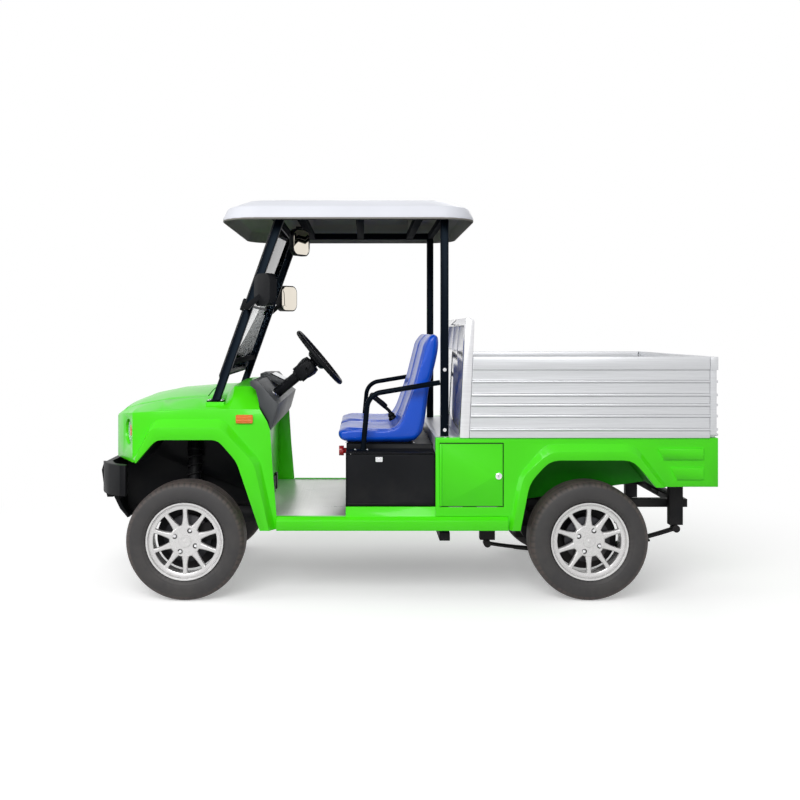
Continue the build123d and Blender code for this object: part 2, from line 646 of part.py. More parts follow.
# Roof moulding: columns are z and inset from the outline
ROOF_X = (-333, 877)
ROOF_HALF = 628
ROOF_CORNER_R = 170
roof_table = [(1778, 0), (1794, 0), (1842, 22), (1880, 110), (1894, 230)]
ROOF_RIBS = (500, 215, -70)
roof_length = ROOF_X[1] - ROOF_X[0]
with BuildPart() as roof:
    for wall, mode in ((0, Mode.ADD), (SKIN, Mode.SUBTRACT)):
        for z, inset in roof_table:
            with BuildSketch(Plane((sum(ROOF_X) / 2, 0, z - wall))):
                cut = 2 * (inset + wall)
                RectangleRounded(roof_length - cut, 2 * ROOF_HALF - cut, ROOF_CORNER_R - inset / 2 - wall)
        loft(ruled=True, mode=mode)
    for x in ROOF_RIBS:
        block((x - 15, x + 15), (-380, 380), (RAIL_TOP_Z, roof_table[-1][0] - 3))
write(roof.part, "roof")

# Windscreen on the front faces of the raked pillars
GLASS_T = 5
GLASS_HALF = 520
GLASS_FOOT_Z = 1022
glass_out = Vector(pillar_dir.Z, 0, -pillar_dir.X)
GLASS_H = (ROOF_RAIL_Z - 16 - GLASS_FOOT_Z) / pillar_dir.Z
glass_mid_z = (ROOF_RAIL_Z - 16 + GLASS_FOOT_Z) / 2
glass_mid_x = PILLAR_FOOT[0] + pillar_run / pillar_rise * (glass_mid_z - PILLAR_FOOT[1])
glass_origin = Vector(glass_mid_x, 0, glass_mid_z) + glass_out * (POST_W / 2)
with BuildPart() as windscreen:
    with BuildSketch(Plane(origin=glass_origin, x_dir=(0, 1, 0), z_dir=glass_out)):
        RectangleRounded(2 * GLASS_HALF, GLASS_H, 30)
    extrude(amount=GLASS_T)
write(windscreen.part, "windscreen")

# Mirrors: a head on a bent arm at each front pillar, and one inside under the front bar
MIRROR_AT = (658, 622, 1448)
MIRROR_W = 150
MIRROR_H = 152
MIRROR_T = 38
MIRROR_TURN = 35
MIRROR_CORNER = 44
ARM_Z = 1366
INNER_AT = (526, 190, 1708)
INNER_W = 150
INNER_H = 138
INNER_T = 22
INNER_TURN = 32
BACK_T = 3
arm_x = PILLAR_FOOT[0] + pillar_run / pillar_rise * (ARM_Z - PILLAR_FOOT[1])
look = Vector(-cos(radians(MIRROR_TURN)), -sin(radians(MIRROR_TURN)), 0)
across = Vector(-sin(radians(MIRROR_TURN)), cos(radians(MIRROR_TURN)), 0)
inner_look = Vector(-cos(radians(INNER_TURN)), sin(radians(INNER_TURN)), 0)
inner_across = Vector(sin(radians(INNER_TURN)), cos(radians(INNER_TURN)), 0)


def head_plane(distance):
    """Plane square to the left mirror's line of sight, that far from the middle of its head."""
    origin = Vector(MIRROR_AT) + look * distance
    return Plane(origin=origin, x_dir=across, z_dir=look)


def inner_plane(distance):
    """Plane square to the inside mirror's line of sight, that far from the middle of its head."""
    origin = Vector(INNER_AT) + inner_look * distance
    return Plane(origin=origin, x_dir=inner_across, z_dir=inner_look)


with BuildPart() as mirrors:
    with BuildSketch(head_plane(-MIRROR_T / 2)):
        RectangleRounded(MIRROR_W, MIRROR_H, MIRROR_CORNER)
    extrude(amount=MIRROR_T)
    block((arm_x - 10, arm_x + 10), (POST_Y + POST_W / 2 + FIT, 612), (ARM_Z - 10, ARM_Z + 10))
    with BuildSketch(side_plane(612)):
        closed([(arm_x + 10, ARM_Z - 10), (arm_x + 10, ARM_Z + 10), (MIRROR_AT[0] + 26, MIRROR_AT[2] - 16),
                (MIRROR_AT[0] + 4, MIRROR_AT[2] - 24), (arm_x - 10, ARM_Z - 10)])
    extrude(amount=18)
    mirror(about=Plane.XZ)
    with BuildSketch(inner_plane(-INNER_T / 2)):
        RectangleRounded(INNER_W, INNER_H, MIRROR_CORNER)
    extrude(amount=INNER_T)
    stay_y = (INNER_AT[1] - 8, INNER_AT[1] + 8)
    block((INNER_AT[0] + 2, INNER_AT[0] + 18), stay_y, (INNER_AT[2] + 30, ROOF_RAIL_Z - FIT))
    block((INNER_AT[0] - 12, INNER_AT[0] + 18), stay_y, (ROOF_RAIL_Z - 10, ROOF_RAIL_Z - FIT))
write(mirrors.part, "mirrors")

with BuildPart() as mirror_glass:
    with BuildSketch(head_plane(MIRROR_T / 2)):
        RectangleRounded(MIRROR_W - 14, MIRROR_H - 14, MIRROR_CORNER - 7)
    extrude(amount=BACK_T)
    mirror(about=Plane.XZ)
    with BuildSketch(inner_plane(INNER_T / 2)):
        RectangleRounded(INNER_W - 14, INNER_H - 14, MIRROR_CORNER - 7)
    extrude(amount=BACK_T)
write(mirror_glass.part, "mirror_glass")

# Rear body sides with wheel-arch flares
# Arch columns are x from the rear axle and z; the lines are the opening, the lip's edge and the flare's edge
REAR_EASE = 45
REAR_SKIN_X = REAR_X + 6
arch_table = [(332, SILL_Z), (288, 545), (192, 649), (-196, 649), (-304, REAR_HEM_Z)]
fold_table = [(371, SILL_Z), (318, 578), (192, 690), (-202, 690), (-336, REAR_HEM_Z)]
outer_table = [(388, SILL_Z), (338, 580), (213, 727), (-208, 727), (-364, REAR_HEM_Z)]
rear_arch, rear_fold, rear_outer = [
    eased([(REAR_AXLE_X + x, z) for x, z in table], REAR_EASE)
    for table in (arch_table, fold_table, outer_table)
]
rear_side = [
    (CAB_REAR_X, 384), (CAB_REAR_X, BED_Z), (REAR_SKIN_X, BED_Z), (REAR_SKIN_X, REAR_HEM_Z),
    *reversed(rear_arch), (SILL_REAR_X, SILL_Z), (SILL_REAR_X, 384),
]
HATCH_X = (REAR_AXLE_X + 412, CAB_REAR_X - 25)
HATCH_Z = (432, 724)
HATCH_HOLE_X = (HATCH_X[0] - PANEL_GAP, HATCH_X[1] + HINGE_R + FIT)
HATCH_HOLE_Z = (HATCH_Z[0] - PANEL_GAP, HATCH_Z[1] + PANEL_GAP)
# Vent columns are the x of the two front corners from the rear skin, z high and z low
VENT_REAR = 71
vent_table = [(284, 258, 702, 651), (224, 196, 612, 557)]
RETURN = 40
with BuildPart() as rear_flare:
    with BuildSketch(side_plane(SIDE_Y - 3)):
        closed(rear_outer + list(reversed(rear_arch)))
    with BuildSketch(side_plane(FLARE_Y)):
        closed(rear_fold + list(reversed(rear_arch)))
    loft(ruled=True)

with BuildPart() as rear_sides:
    with BuildSketch(side_plane(SIDE_Y)):
        closed(rear_side)
        with Locations((sum(HATCH_HOLE_X) / 2, sum(HATCH_HOLE_Z) / 2)):
            hole_size = (HATCH_HOLE_X[1] - HATCH_HOLE_X[0], HATCH_HOLE_Z[1] - HATCH_HOLE_Z[0])
            Rectangle(*hole_size, mode=Mode.SUBTRACT)
    extrude(amount=SKIN)
    add(rear_flare.part)
    block((CAB_REAR_X - SKIN, CAB_REAR_X), (SIDE_Y - RETURN, SIDE_Y), (384, BED_Z))
    block((REAR_SKIN_X + SKIN + FIT, CAB_REAR_X), (SIDE_Y - RETURN, SIDE_Y), (BED_Z - SKIN, BED_Z))
    for high_x, low_x, z_high, z_low in vent_table:
        vent = [(high_x, z_high), (VENT_REAR, z_high), (VENT_REAR, z_low), (low_x, z_low)]
        with BuildSketch(side_plane(SIDE_Y - 1)):
            closed([(REAR_SKIN_X + x, z) for x, z in vent])
        extrude(amount=-9)
    mirror(about=Plane.XZ)
write(rear_sides.part, "rear_sides")

# Hatches in the rear body, hinged on their front edges
HATCH_T = 5
LOCK_AT = (HATCH_X[0] + 19, 573)
LOCK_R = 15
with BuildPart() as side_hatch:
    block(HATCH_X, (SIDE_Y - HATCH_T, SIDE_Y), HATCH_Z)
    with BuildSketch(Plane((HATCH_X[1], SIDE_Y, HATCH_Z[0]))):
        Circle(HINGE_R)
    extrude(amount=HATCH_Z[1] - HATCH_Z[0])
    with BuildSketch(side_plane(SIDE_Y - 1)):
        with Locations(LOCK_AT):
            Circle(LOCK_R)
    extrude(amount=-6)
both_sides(side_hatch.part, "side_hatch")

with BuildPart() as rear_panel:
    panel_half = SIDE_Y - SKIN - FIT
    block((REAR_SKIN_X, REAR_SKIN_X + SKIN), (-panel_half, panel_half), (REAR_HEM_Z, BED_Z))
write(rear_panel.part, "rear_panel")

LAMP_SIZE = (90, 130)
with BuildPart() as tail_lamps:
    with BuildSketch(Plane(origin=(REAR_SKIN_X, 500, 640), x_dir=(0, 1, 0), z_dir=(-1, 0, 0))):
        RectangleRounded(LAMP_SIZE[0], LAMP_SIZE[1], 12)
    extrude(amount=REAR_SKIN_X - REAR_X)
    mirror(about=Plane.XZ)
write(tail_lamps.part, "tail_lamps")

# Inner wheel arches: green ones in the rear body and black liners in the front fenders
ARCH_T = 4
ARCH_IN_Y = 424
ARCH_BASE_Z = 430
LINER_IN_Y = 268


def line_x(start, end, z):
    """The x at that height on the line through two points."""
    return start[0] + (end[0] - start[0]) * (z - start[1]) / (end[1] - start[1])


rear_line = [(line_x(rear_arch[0], rear_arch[1], ARCH_BASE_Z), ARCH_BASE_Z), *rear_arch[1:]]
with BuildPart() as wheelhouses:
    with BuildSketch(side_plane(SIDE_Y - SKIN - FIT)):
        closed(swelled(rear_line, (REAR_AXLE_X, ARCH_BASE_Z), ARCH_T))
    extrude(amount=SIDE_Y - SKIN - FIT - ARCH_IN_Y)
    with BuildSketch(side_plane(SIDE_Y)):
        closed([(rear_line[0][0], 0), *rear_line, (rear_line[-1][0], 0)])
    extrude(amount=SIDE_Y - ARCH_IN_Y - ARCH_T, mode=Mode.SUBTRACT)
    mirror(about=Plane.XZ)
write(wheelhouses.part, "wheelhouses")

front_line = [*front_arch[:-1], (line_x(front_arch[-1], front_arch[-2], ARCH_BASE_Z), ARCH_BASE_Z)]
with BuildPart() as front_liners:
    with BuildSketch(side_plane(CAB_HALF)):
        closed(swelled(front_line, (FRONT_AXLE_X, ARCH_BASE_Z), ARCH_T))
    extrude(amount=CAB_HALF - LINER_IN_Y)
    with BuildSketch(side_plane(FENDER_Y)):
        closed([(front_line[0][0], 0), *front_line, (front_line[-1][0], 0)])
    extrude(amount=FENDER_Y - LINER_IN_Y - ARCH_T, mode=Mode.SUBTRACT)
    block((FRONT_AXLE_X - 40, FRONT_AXLE_X + 40), (LINER_IN_Y - 4, LINER_IN_Y + 8),
          (SHOCK_TOP_Z - 70, SHOCK_TOP_Z + 28), mode=Mode.SUBTRACT)
    mirror(about=Plane.XZ)
write(front_liners.part, "front_liners")

# Cargo bed
BED_REAR_X = REAR_X + 47
BED_FLOOR_T = 25
BED_HALF = 585
BED_SIDE_Y = 610
BED_RAIL_Z = (1072, 1134)
BED_RAIL_OUT = 615
BED_RAIL_IN = 575
HEAD_TOP_Z = 1316
headboard_section = [
    (-253, BED_Z), (-281, HEAD_TOP_Z), (-302, HEAD_TOP_Z), (-316, HEAD_TOP_Z - 5), (-323, HEAD_TOP_Z - 16),
    (-298, BED_Z),
]
HEAD_WINDOWS = 4
HEAD_WINDOW_W = 258
HEAD_WINDOW_Z = (1155, 1279)
RIB_ZS = (1018, 955, 908, 856, 793)
RIB_H = 12
RIB_T = 6
GATE_AXIS = (REAR_X + 7, 766)
GATE_BARREL_R = 7
# Bed floor, and the shelf in front of the headboard that closes the space behind the seats
SHELF_HALF = SIDE_Y - RETURN - FIT
with BuildPart() as bed_floor:
    block((BED_REAR_X, -299.6), (-BED_HALF, BED_HALF), (BED_Z, BED_Z + BED_FLOOR_T))
    lip_x = GATE_AXIS[0] + GATE_BARREL_R + FIT
    block((lip_x, BED_REAR_X + 1), (-BED_HALF, BED_HALF), (BED_Z, GATE_AXIS[1]))
    block((-299, CAB_REAR_X), (-SHELF_HALF, SHELF_HALF), (BED_Z - SKIN, BED_Z))
    block((CAB_REAR_X - PANEL_T, CAB_REAR_X), (-SHELF_HALF, SHELF_HALF), (BOX_TOP - 20, BED_Z))
    for side in (1, -1):
        hole_x = (POST_X - POST_W / 2 - FIT, POST_X + POST_W / 2 + FIT)
        hole_y = (side * (POST_Y - POST_W / 2 - FIT), side * (POST_Y + POST_W / 2 + FIT))
        block(hole_x, hole_y, (BED_Z - 20, BED_Z + 20), mode=Mode.SUBTRACT)
write(bed_floor.part, "bed_floor")

with BuildPart() as bed_headboard:
    with BuildSketch(side_plane(0)):
        closed(headboard_section)
    extrude(amount=BED_SIDE_Y, both=True)
    window_mid = sum(HEAD_WINDOW_Z) / 2
    with BuildSketch(Plane(origin=(-400, 0, window_mid), x_dir=(0, 1, 0), z_dir=(1, 0, 0))):
        with GridLocations(HEAD_WINDOW_W + 22, 1, HEAD_WINDOWS, 1):
            Rectangle(HEAD_WINDOW_W, HEAD_WINDOW_Z[1] - HEAD_WINDOW_Z[0])
    extrude(amount=200, mode=Mode.SUBTRACT)
write(bed_headboard.part, "bed_headboard")



def behind_board(z):
    """The x just behind the sloping rear face of the headboard at that height."""
    return line_x(headboard_section[-1], headboard_section[-2], z) - 2 * FIT


# Bed sides: columns are y low, y high, z low, z high of the wall, its top rail and its ribs
side_table = [
    (BED_HALF + FIT, BED_SIDE_Y, BED_Z, BED_RAIL_Z[1]),
    (BED_RAIL_IN, BED_RAIL_OUT, *BED_RAIL_Z),
    *[(BED_SIDE_Y - 1, BED_SIDE_Y + RIB_T, z - RIB_H / 2, z + RIB_H / 2) for z in RIB_ZS],
]
with BuildPart() as bed_sides:
    for y0, y1, z0, z1 in side_table:
        with BuildSketch(side_plane(y1)):
            closed([(BED_REAR_X, z0), (BED_REAR_X, z1), (behind_board(z1), z1), (behind_board(z0), z0)])
        extrude(amount=y1 - y0)
    mirror(about=Plane.XZ)
write(bed_sides.part, "bed_sides")

# Tailgate, hinged at its foot behind the bed floor
GATE_T = 30
GATE_BASE_Z = 768
GATE_X = (BED_REAR_X - FIT - GATE_T, BED_REAR_X - FIT)
with BuildPart() as tailgate:
    block(GATE_X, (-BED_SIDE_Y, BED_SIDE_Y), (GATE_BASE_Z, BED_RAIL_Z[1]))
    block((GATE_X[0] - 6, GATE_X[1]), (-BED_RAIL_OUT, BED_RAIL_OUT), BED_RAIL_Z)
    for z in RIB_ZS:
        rib_z = (z - RIB_H / 2, z + RIB_H / 2)
        block((GATE_X[0] - RIB_T, GATE_X[0] + 1), (-BED_SIDE_Y, BED_SIDE_Y), rib_z)
    block((GATE_AXIS[0], GATE_X[0] + 1), (-BED_HALF, BED_HALF), (GATE_BASE_Z, GATE_BASE_Z + 5))
    with BuildSketch(side_plane(BED_HALF)):
        with Locations(GATE_AXIS):
            Circle(GATE_BARREL_R)
    extrude(amount=2 * BED_HALF)
write(tailgate.part, "tailgate")

# Front wishbones, upper and lower on each side, with an eye for the steering knuckle
# Columns are the z of the arm's middle, and the y and half width of the outer end of its window
arm_zs = (AXLE_Z - ARM_RISE, AXLE_Z + ARM_RISE - ARM_T)
arm_table = [(arm_zs[0], 330, 52), (arm_zs[1], 392, 33)]
with BuildPart() as front_arms:
    for z, window_y, window_half in arm_table:
        with BuildSketch(Plane.XY.offset(z - ARM_T / 2)):
            closed([(FRONT_AXLE_X - ARM_SPREAD, FRONT_OUT), (FRONT_AXLE_X + ARM_SPREAD, FRONT_OUT),
                    (FRONT_AXLE_X + ARM_EYE_R, KINGPIN_Y), (FRONT_AXLE_X - ARM_EYE_R, KINGPIN_Y)])
            with Locations((FRONT_AXLE_X, KINGPIN_Y)):
                Circle(ARM_EYE_R)
                Circle(KINGPIN_R + FIT, mode=Mode.SUBTRACT)
            Polygon((FRONT_AXLE_X - 80, FRONT_OUT + 20), (FRONT_AXLE_X + 80, FRONT_OUT + 20),
                    (FRONT_AXLE_X + window_half, window_y), (FRONT_AXLE_X - window_half, window_y),
                    align=None, mode=Mode.SUBTRACT)
        extrude(amount=ARM_T)
    mirror(about=Plane.XZ)
write(front_arms.part, "front_arms")

# Coil-over dampers from the lower wishbones to the towers
shock_foot = Vector(FRONT_AXLE_X, 372, AXLE_Z - 46)
shock_head = Vector(FRONT_AXLE_X, FRONT_OUT + SHOCK_R + 2, SHOCK_TOP_Z)
with BuildPart() as front_shocks:
    with BuildSketch(Plane(origin=shock_foot, x_dir=(1, 0, 0), z_dir=shock_head - shock_foot)):
        Circle(SHOCK_R)
    extrude(amount=(shock_head - shock_foot).length)
    eye_x = (FRONT_AXLE_X - 14, FRONT_AXLE_X + 14)
    block(eye_x, (360, 384), (arm_zs[0] + ARM_T / 2, AXLE_Z - 40))
    block(eye_x, (FRONT_OUT, FRONT_OUT + 40), (SHOCK_TOP_Z - 14, SHOCK_TOP_Z + 12))
    mirror(about=Plane.XZ)
write(front_shocks.part, "front_shocks")

# Steering rack: a fixed housing, and the sliding bar with its track rods
RACK_X = FRONT_AXLE_X - STEER_ARM
STEER_ARM_Z = AXLE_Z - 18
TIE_Z = STEER_ARM_Z - FIT - TIE_END_R
TIE_Y = KINGPIN_Y - 12
with BuildPart() as steering_rack:
    with BuildSketch(Plane(origin=(RACK_X, -RACK_HOUSING_HALF, TIE_Z), x_dir=(1, 0, 0), z_dir=(0, 1, 0))):
        Circle(RACK_HOUSING_R)
    extrude(amount=2 * RACK_HOUSING_HALF)
    for y in (-120, 120):
        block((RACK_X - 14, RACK_X + 14), (y - 20, y + 20), (LOWER_CROSS_Z[1], TIE_Z))
    with BuildSketch(Plane(origin=(RACK_X, -300, TIE_Z), x_dir=(1, 0, 0), z_dir=(0, 1, 0))):
        Circle(RACK_R + FIT)
    extrude(amount=600, mode=Mode.SUBTRACT)
write(steering_rack.part, "steering_rack")

with BuildPart() as rack_bar:
    with BuildSketch(Plane(origin=(RACK_X, -TIE_Y, TIE_Z), x_dir=(1, 0, 0), z_dir=(0, 1, 0))):
        Circle(RACK_R)
    extrude(amount=2 * TIE_Y)
    for side in (1, -1):
        with BuildSketch(Plane((RACK_X, side * TIE_Y, TIE_Z - TIE_END_R))):
            Circle(TIE_END_R)
        extrude(amount=2 * TIE_END_R)
write(rack_bar.part, "rack_bar")

# Steering knuckle with kingpin studs, wheel spindle, steering arm and brake caliper
CALIPER_R = (72, 130)
CALIPER_HALF = 42
CALIPER_ANGLE = 20
CALIPER_OUT = (-48, 6)
SPINDLE_OUT = 18
with BuildPart() as knuckle:
    z_low = arm_zs[0] + ARM_T / 2 + FIT
    z_high = arm_zs[1] - ARM_T / 2 - FIT
    block((FRONT_AXLE_X - KNUCKLE_W / 2, FRONT_AXLE_X + KNUCKLE_W / 2),
          (KINGPIN_Y - KNUCKLE_W / 2, KINGPIN_Y + KNUCKLE_W / 2 - 8), (z_low, z_high))
    with BuildSketch(Plane((FRONT_AXLE_X, KINGPIN_Y, arm_zs[0] - ARM_T / 2))):
        Circle(KINGPIN_R)
    extrude(amount=arm_zs[1] - arm_zs[0] + ARM_T)
    with BuildSketch(Plane(origin=(FRONT_AXLE_X, KINGPIN_Y, AXLE_Z), x_dir=(1, 0, 0), z_dir=(0, 1, 0))):
        Circle(SPINDLE_R)
    extrude(amount=WHEEL_Y + SPINDLE_OUT - KINGPIN_Y)
    block((RACK_X, FRONT_AXLE_X), (TIE_Y - 11, TIE_Y + 11), (STEER_ARM_Z, STEER_ARM_Z + STEER_ARM_T))
    with BuildSketch(Plane((RACK_X, TIE_Y, STEER_ARM_Z))):
        Circle(TIE_END_R)
    extrude(amount=STEER_ARM_T)
    caliper_x = Vector(-cos(radians(CALIPER_ANGLE)), 0, sin(radians(CALIPER_ANGLE)))
    caliper_at = (FRONT_AXLE_X, WHEEL_Y + CALIPER_OUT[0], AXLE_Z)
    with BuildSketch(Plane(origin=caliper_at, x_dir=caliper_x, z_dir=(0, 1, 0))):
        with Locations((sum(CALIPER_R) / 2, 0)):
            Rectangle(CALIPER_R[1] - CALIPER_R[0], 2 * CALIPER_HALF)
    extrude(amount=CALIPER_OUT[1] - CALIPER_OUT[0])
    disc_at = (FRONT_AXLE_X, WHEEL_Y + DISC_OUT - 3, AXLE_Z)
    with BuildSketch(Plane(origin=disc_at, x_dir=(1, 0, 0), z_dir=(0, 1, 0))):
        Circle(DISC_R + 4)
    extrude(amount=DISC_T + 6, mode=Mode.SUBTRACT)
    with BuildSketch(Plane(origin=(FRONT_AXLE_X, KINGPIN_Y - 4, AXLE_Z), x_dir=caliper_x, z_dir=(0, 1, 0))):
        with Locations((55, 0)):
            Rectangle(90, 34)
    extrude(amount=WHEEL_Y + CALIPER_OUT[0] + 1 - KINGPIN_Y + 4)
    with BuildSketch(Plane(origin=(FRONT_AXLE_X, WHEEL_Y - 40, AXLE_Z), x_dir=(1, 0, 0), z_dir=(0, 1, 0))):
        Circle(SPINDLE_R)
    extrude(amount=SPINDLE_OUT + 40)
both_sides(knuckle.part, "knuckle")

# Rear axle with its transaxle and motor
AXLE_R = 34
AXLE_HALF = WHEEL_Y - 66
SEAT_H = 30
MOTOR_R = 92
MOTOR_X = REAR_AXLE_X + 185
SPRING_TOP = (REAR_AXLE_X, AXLE_Z - 66)
with BuildPart() as rear_axle:
    with BuildSketch(Plane(origin=(REAR_AXLE_X, -AXLE_HALF, AXLE_Z), x_dir=(1, 0, 0), z_dir=(0, 1, 0))):
        Circle(AXLE_R)
    extrude(amount=2 * AXLE_HALF)
    spindle_at = (REAR_AXLE_X, -WHEEL_Y - SPINDLE_OUT, AXLE_Z)
    with BuildSketch(Plane(origin=spindle_at, x_dir=(1, 0, 0), z_dir=(0, 1, 0))):
        Circle(SPINDLE_R)
    extrude(amount=2 * (WHEEL_Y + SPINDLE_OUT))
    block((REAR_AXLE_X - 95, MOTOR_X + 80), (-70, 70), (AXLE_Z - 90, AXLE_Z + 90))
    with BuildSketch(Plane(origin=(MOTOR_X, 60, AXLE_Z + 12), x_dir=(1, 0, 0), z_dir=(0, 1, 0))):
        Circle(MOTOR_R)
    extrude(amount=230)
    for side in (1, -1):
        pad_y = (side * (SPRING_Y - 25), side * (SPRING_Y + 25))
        block((REAR_AXLE_X - 24, REAR_AXLE_X + 24), pad_y, (SPRING_TOP[1] + 2.4, AXLE_Z - 20))
write(rear_axle.part, "rear_axle")

# Leaf springs under the axle, with rolled eyes at the hangers
leaf_table = [(0, 1.0), (1, 0.72), (2, 0.5)]
with BuildPart() as leaf_springs:
    for leaf, reach in leaf_table:
        drop = leaf * LEAF_T
        front = Vector(REAR_AXLE_X, SPRING_TOP[1] - LEAF_T / 2) * (1 - reach) + Vector(*SPRING_FRONT) * reach
        rear = Vector(REAR_AXLE_X, SPRING_TOP[1] - LEAF_T / 2) * (1 - reach) + Vector(*SPRING_REAR) * reach
        sag_f = (SPRING_FRONT[1] - SPRING_TOP[1] + LEAF_T / 2) * (reach - reach ** 2)
        sag_r = (SPRING_REAR[1] - SPRING_TOP[1] + LEAF_T / 2) * (reach - reach ** 2)
        with BuildSketch(side_plane(SPRING_Y + SPRING_W / 2)):
            with BuildLine():
                ThreePointArc((front.X, front.Y - sag_f - drop),
                              (REAR_AXLE_X, SPRING_TOP[1] - LEAF_T / 2 - drop),
                              (rear.X, rear.Y - sag_r - drop))
            trace(line_width=LEAF_T)
        extrude(amount=SPRING_W)
    with BuildSketch(side_plane(SPRING_Y + SPRING_W / 2)):
        with Locations(SPRING_FRONT, SPRING_REAR):
            Circle(EYE_R)
    extrude(amount=SPRING_W)
    clamp_z = (SPRING_TOP[1] - 42, SPRING_TOP[1] - 26)
    block((REAR_AXLE_X - 45, REAR_AXLE_X + 45), (SPRING_Y - 32, SPRING_Y + 32), clamp_z)
    mirror(about=Plane.XZ)
write(leaf_springs.part, "leaf_springs")

# Wheels: a tyre, a ten-spoke rim and a brake disc or drum at each corner
tyre_half = [
    (BEAD_W / 2, RIM_R + FIT),
    (TYRE_W / 2, BULGE_R),
    (SHOULDER_W / 2, SHOULDER_R),
    (TREAD_W / 2, TYRE_R),
]
tyre_section = tyre_half + [(-out, r) for out, r in reversed(tyre_half)]
rim_section = [
    (-RIM_W / 2, RIM_R), (RIM_W / 2, RIM_R), (RIM_W / 2 - 14, WINDOW_OUT_R + 2),
    (HUB_FACE, WINDOW_OUT_R + 2), (HUB_FACE, BARREL_R), (-RIM_W / 2, BARREL_R),
]
half_step = radians(180 / SPOKE_COUNT)
window_in_half = WINDOW_IN_R * sin(half_step) - SPOKE_ROOT_W / 2
window_out_half = WINDOW_OUT_R * sin(half_step) - SPOKE_TIP_W / 2
window_out_x = WINDOW_OUT_R * cos(half_step)
corner_table = [
    ("front", "left", FRONT_AXLE_X, 1),
    ("front", "right", FRONT_AXLE_X, -1),
    ("rear", "left", REAR_AXLE_X, 1),
    ("rear", "right", REAR_AXLE_X, -1),
]
for end, hand, axle_x, side in corner_table:
    hub = (axle_x, side * WHEEL_Y, AXLE_Z)
    axle = Axis(hub, (0, 1, 0))
    radial = Plane(origin=hub, x_dir=(0, side, 0), z_dir=(side, 0, 0))
    facing = Plane(origin=hub, x_dir=(1, 0, 0), z_dir=(0, side, 0))

    with BuildPart() as tyre:
        with BuildSketch(radial):
            closed(tyre_section)
        revolve(axis=axle)
    write(tyre.part, f"tyre_{end}_{hand}")

    with BuildPart() as rim:
        with BuildSketch(radial):
            closed(rim_section)
        revolve(axis=axle)
        with BuildSketch(facing.offset(HUB_FACE)):
            Circle(WINDOW_OUT_R + 5)
        extrude(amount=SPOKE_T)
        with BuildSketch(facing.offset(HUB_FACE)):
            with PolarLocations(0, SPOKE_COUNT):
                closed([(WINDOW_IN_R, -window_in_half), (window_out_x, -window_out_half),
                        (WINDOW_OUT_R, 0), (window_out_x, window_out_half),
                        (WINDOW_IN_R, window_in_half), (WINDOW_IN_R - 10, 0)])
        extrude(amount=SPOKE_T, mode=Mode.SUBTRACT)
        with BuildSketch(facing.offset(HUB_FACE + SPOKE_T - 12)):
            with PolarLocations(LUG_PCD / 2, LUG_COUNT, start_angle=45):
                RegularPolygon(LUG_R, 6)
        extrude(amount=12, mode=Mode.SUBTRACT)
        with BuildSketch(facing.offset(HUB_FACE + SPOKE_T)):
            Circle(CAP_R)
        extrude(amount=6)
    write(rim.part, f"rim_{end}_{hand}")

    with BuildPart() as brake:
        with BuildSketch(facing.offset(DISC_OUT - 16)):
            Circle(HUB_R)
        extrude(amount=HUB_FACE - DISC_OUT + 16)
        if end == "front":
            with BuildSketch(facing.offset(DISC_OUT)):
                Circle(DISC_R)
            extrude(amount=DISC_T)
        else:
            with BuildSketch(facing.offset(DISC_OUT - 16)):
                Circle(DRUM_R)
            extrude(amount=DRUM_W)
        with BuildSketch(facing.offset(DISC_OUT - 16)):
            Circle(SPINDLE_R + FIT)
        extrude(amount=SPINDLE_OUT - DISC_OUT + 18, mode=Mode.SUBTRACT)
    write(brake.part, f"{'disc' if end == 'front' else 'drum'}_{end}_{hand}")
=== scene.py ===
# %% [markdown]
# # An electric mini truck, dressed from its CAD frame
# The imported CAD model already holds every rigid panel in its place, so this lesson adds what the eye
# expects on top: finishes for every panel, and finer meshes for tyres, rims, seats, lamps and small
# fittings. The frame is loaded first, so that later pieces can take their places from it instead of being
# fitted by eye.

# %% Load the frame
import json
from math import cos, exp, pi, radians, sin, sqrt, tau

import bmesh
import bpy
from mathutils import Matrix, Vector


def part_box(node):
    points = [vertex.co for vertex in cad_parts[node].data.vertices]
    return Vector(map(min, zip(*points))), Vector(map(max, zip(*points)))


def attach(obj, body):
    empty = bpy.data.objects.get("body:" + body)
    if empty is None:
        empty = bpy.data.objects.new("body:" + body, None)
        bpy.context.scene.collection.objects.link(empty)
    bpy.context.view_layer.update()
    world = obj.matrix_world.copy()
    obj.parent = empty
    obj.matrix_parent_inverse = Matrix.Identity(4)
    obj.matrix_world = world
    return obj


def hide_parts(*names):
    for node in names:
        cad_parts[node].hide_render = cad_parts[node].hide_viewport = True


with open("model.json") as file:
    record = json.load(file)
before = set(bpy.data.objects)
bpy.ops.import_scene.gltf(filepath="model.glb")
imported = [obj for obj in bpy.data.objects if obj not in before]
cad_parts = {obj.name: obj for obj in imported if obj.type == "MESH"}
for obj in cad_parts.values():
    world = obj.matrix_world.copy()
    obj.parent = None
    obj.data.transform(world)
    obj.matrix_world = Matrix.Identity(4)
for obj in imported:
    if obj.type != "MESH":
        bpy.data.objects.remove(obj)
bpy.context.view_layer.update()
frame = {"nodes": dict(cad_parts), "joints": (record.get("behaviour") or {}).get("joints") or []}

MM = 0.001

# %% [markdown]
# ## The camera
# The photograph was taken level, from the truck's left, with the lens a little ahead of the cab. A camera
# can be aimed by trial, but its place was worked out from sizes known on the truck: the wheels give the
# scale, and the near and far canopy posts give the distance. The axis of the lens isn't in the middle of
# the picture, so the sensor is shifted, which keeps upright lines upright.

# %% Camera
CAMERA_AT = (0.196, 5.125, 1.273)
PHOTO_PX = 800
FOCAL_PX = 962.6
AXIS_PX = (364, 331)
SENSOR_MM = 36.0

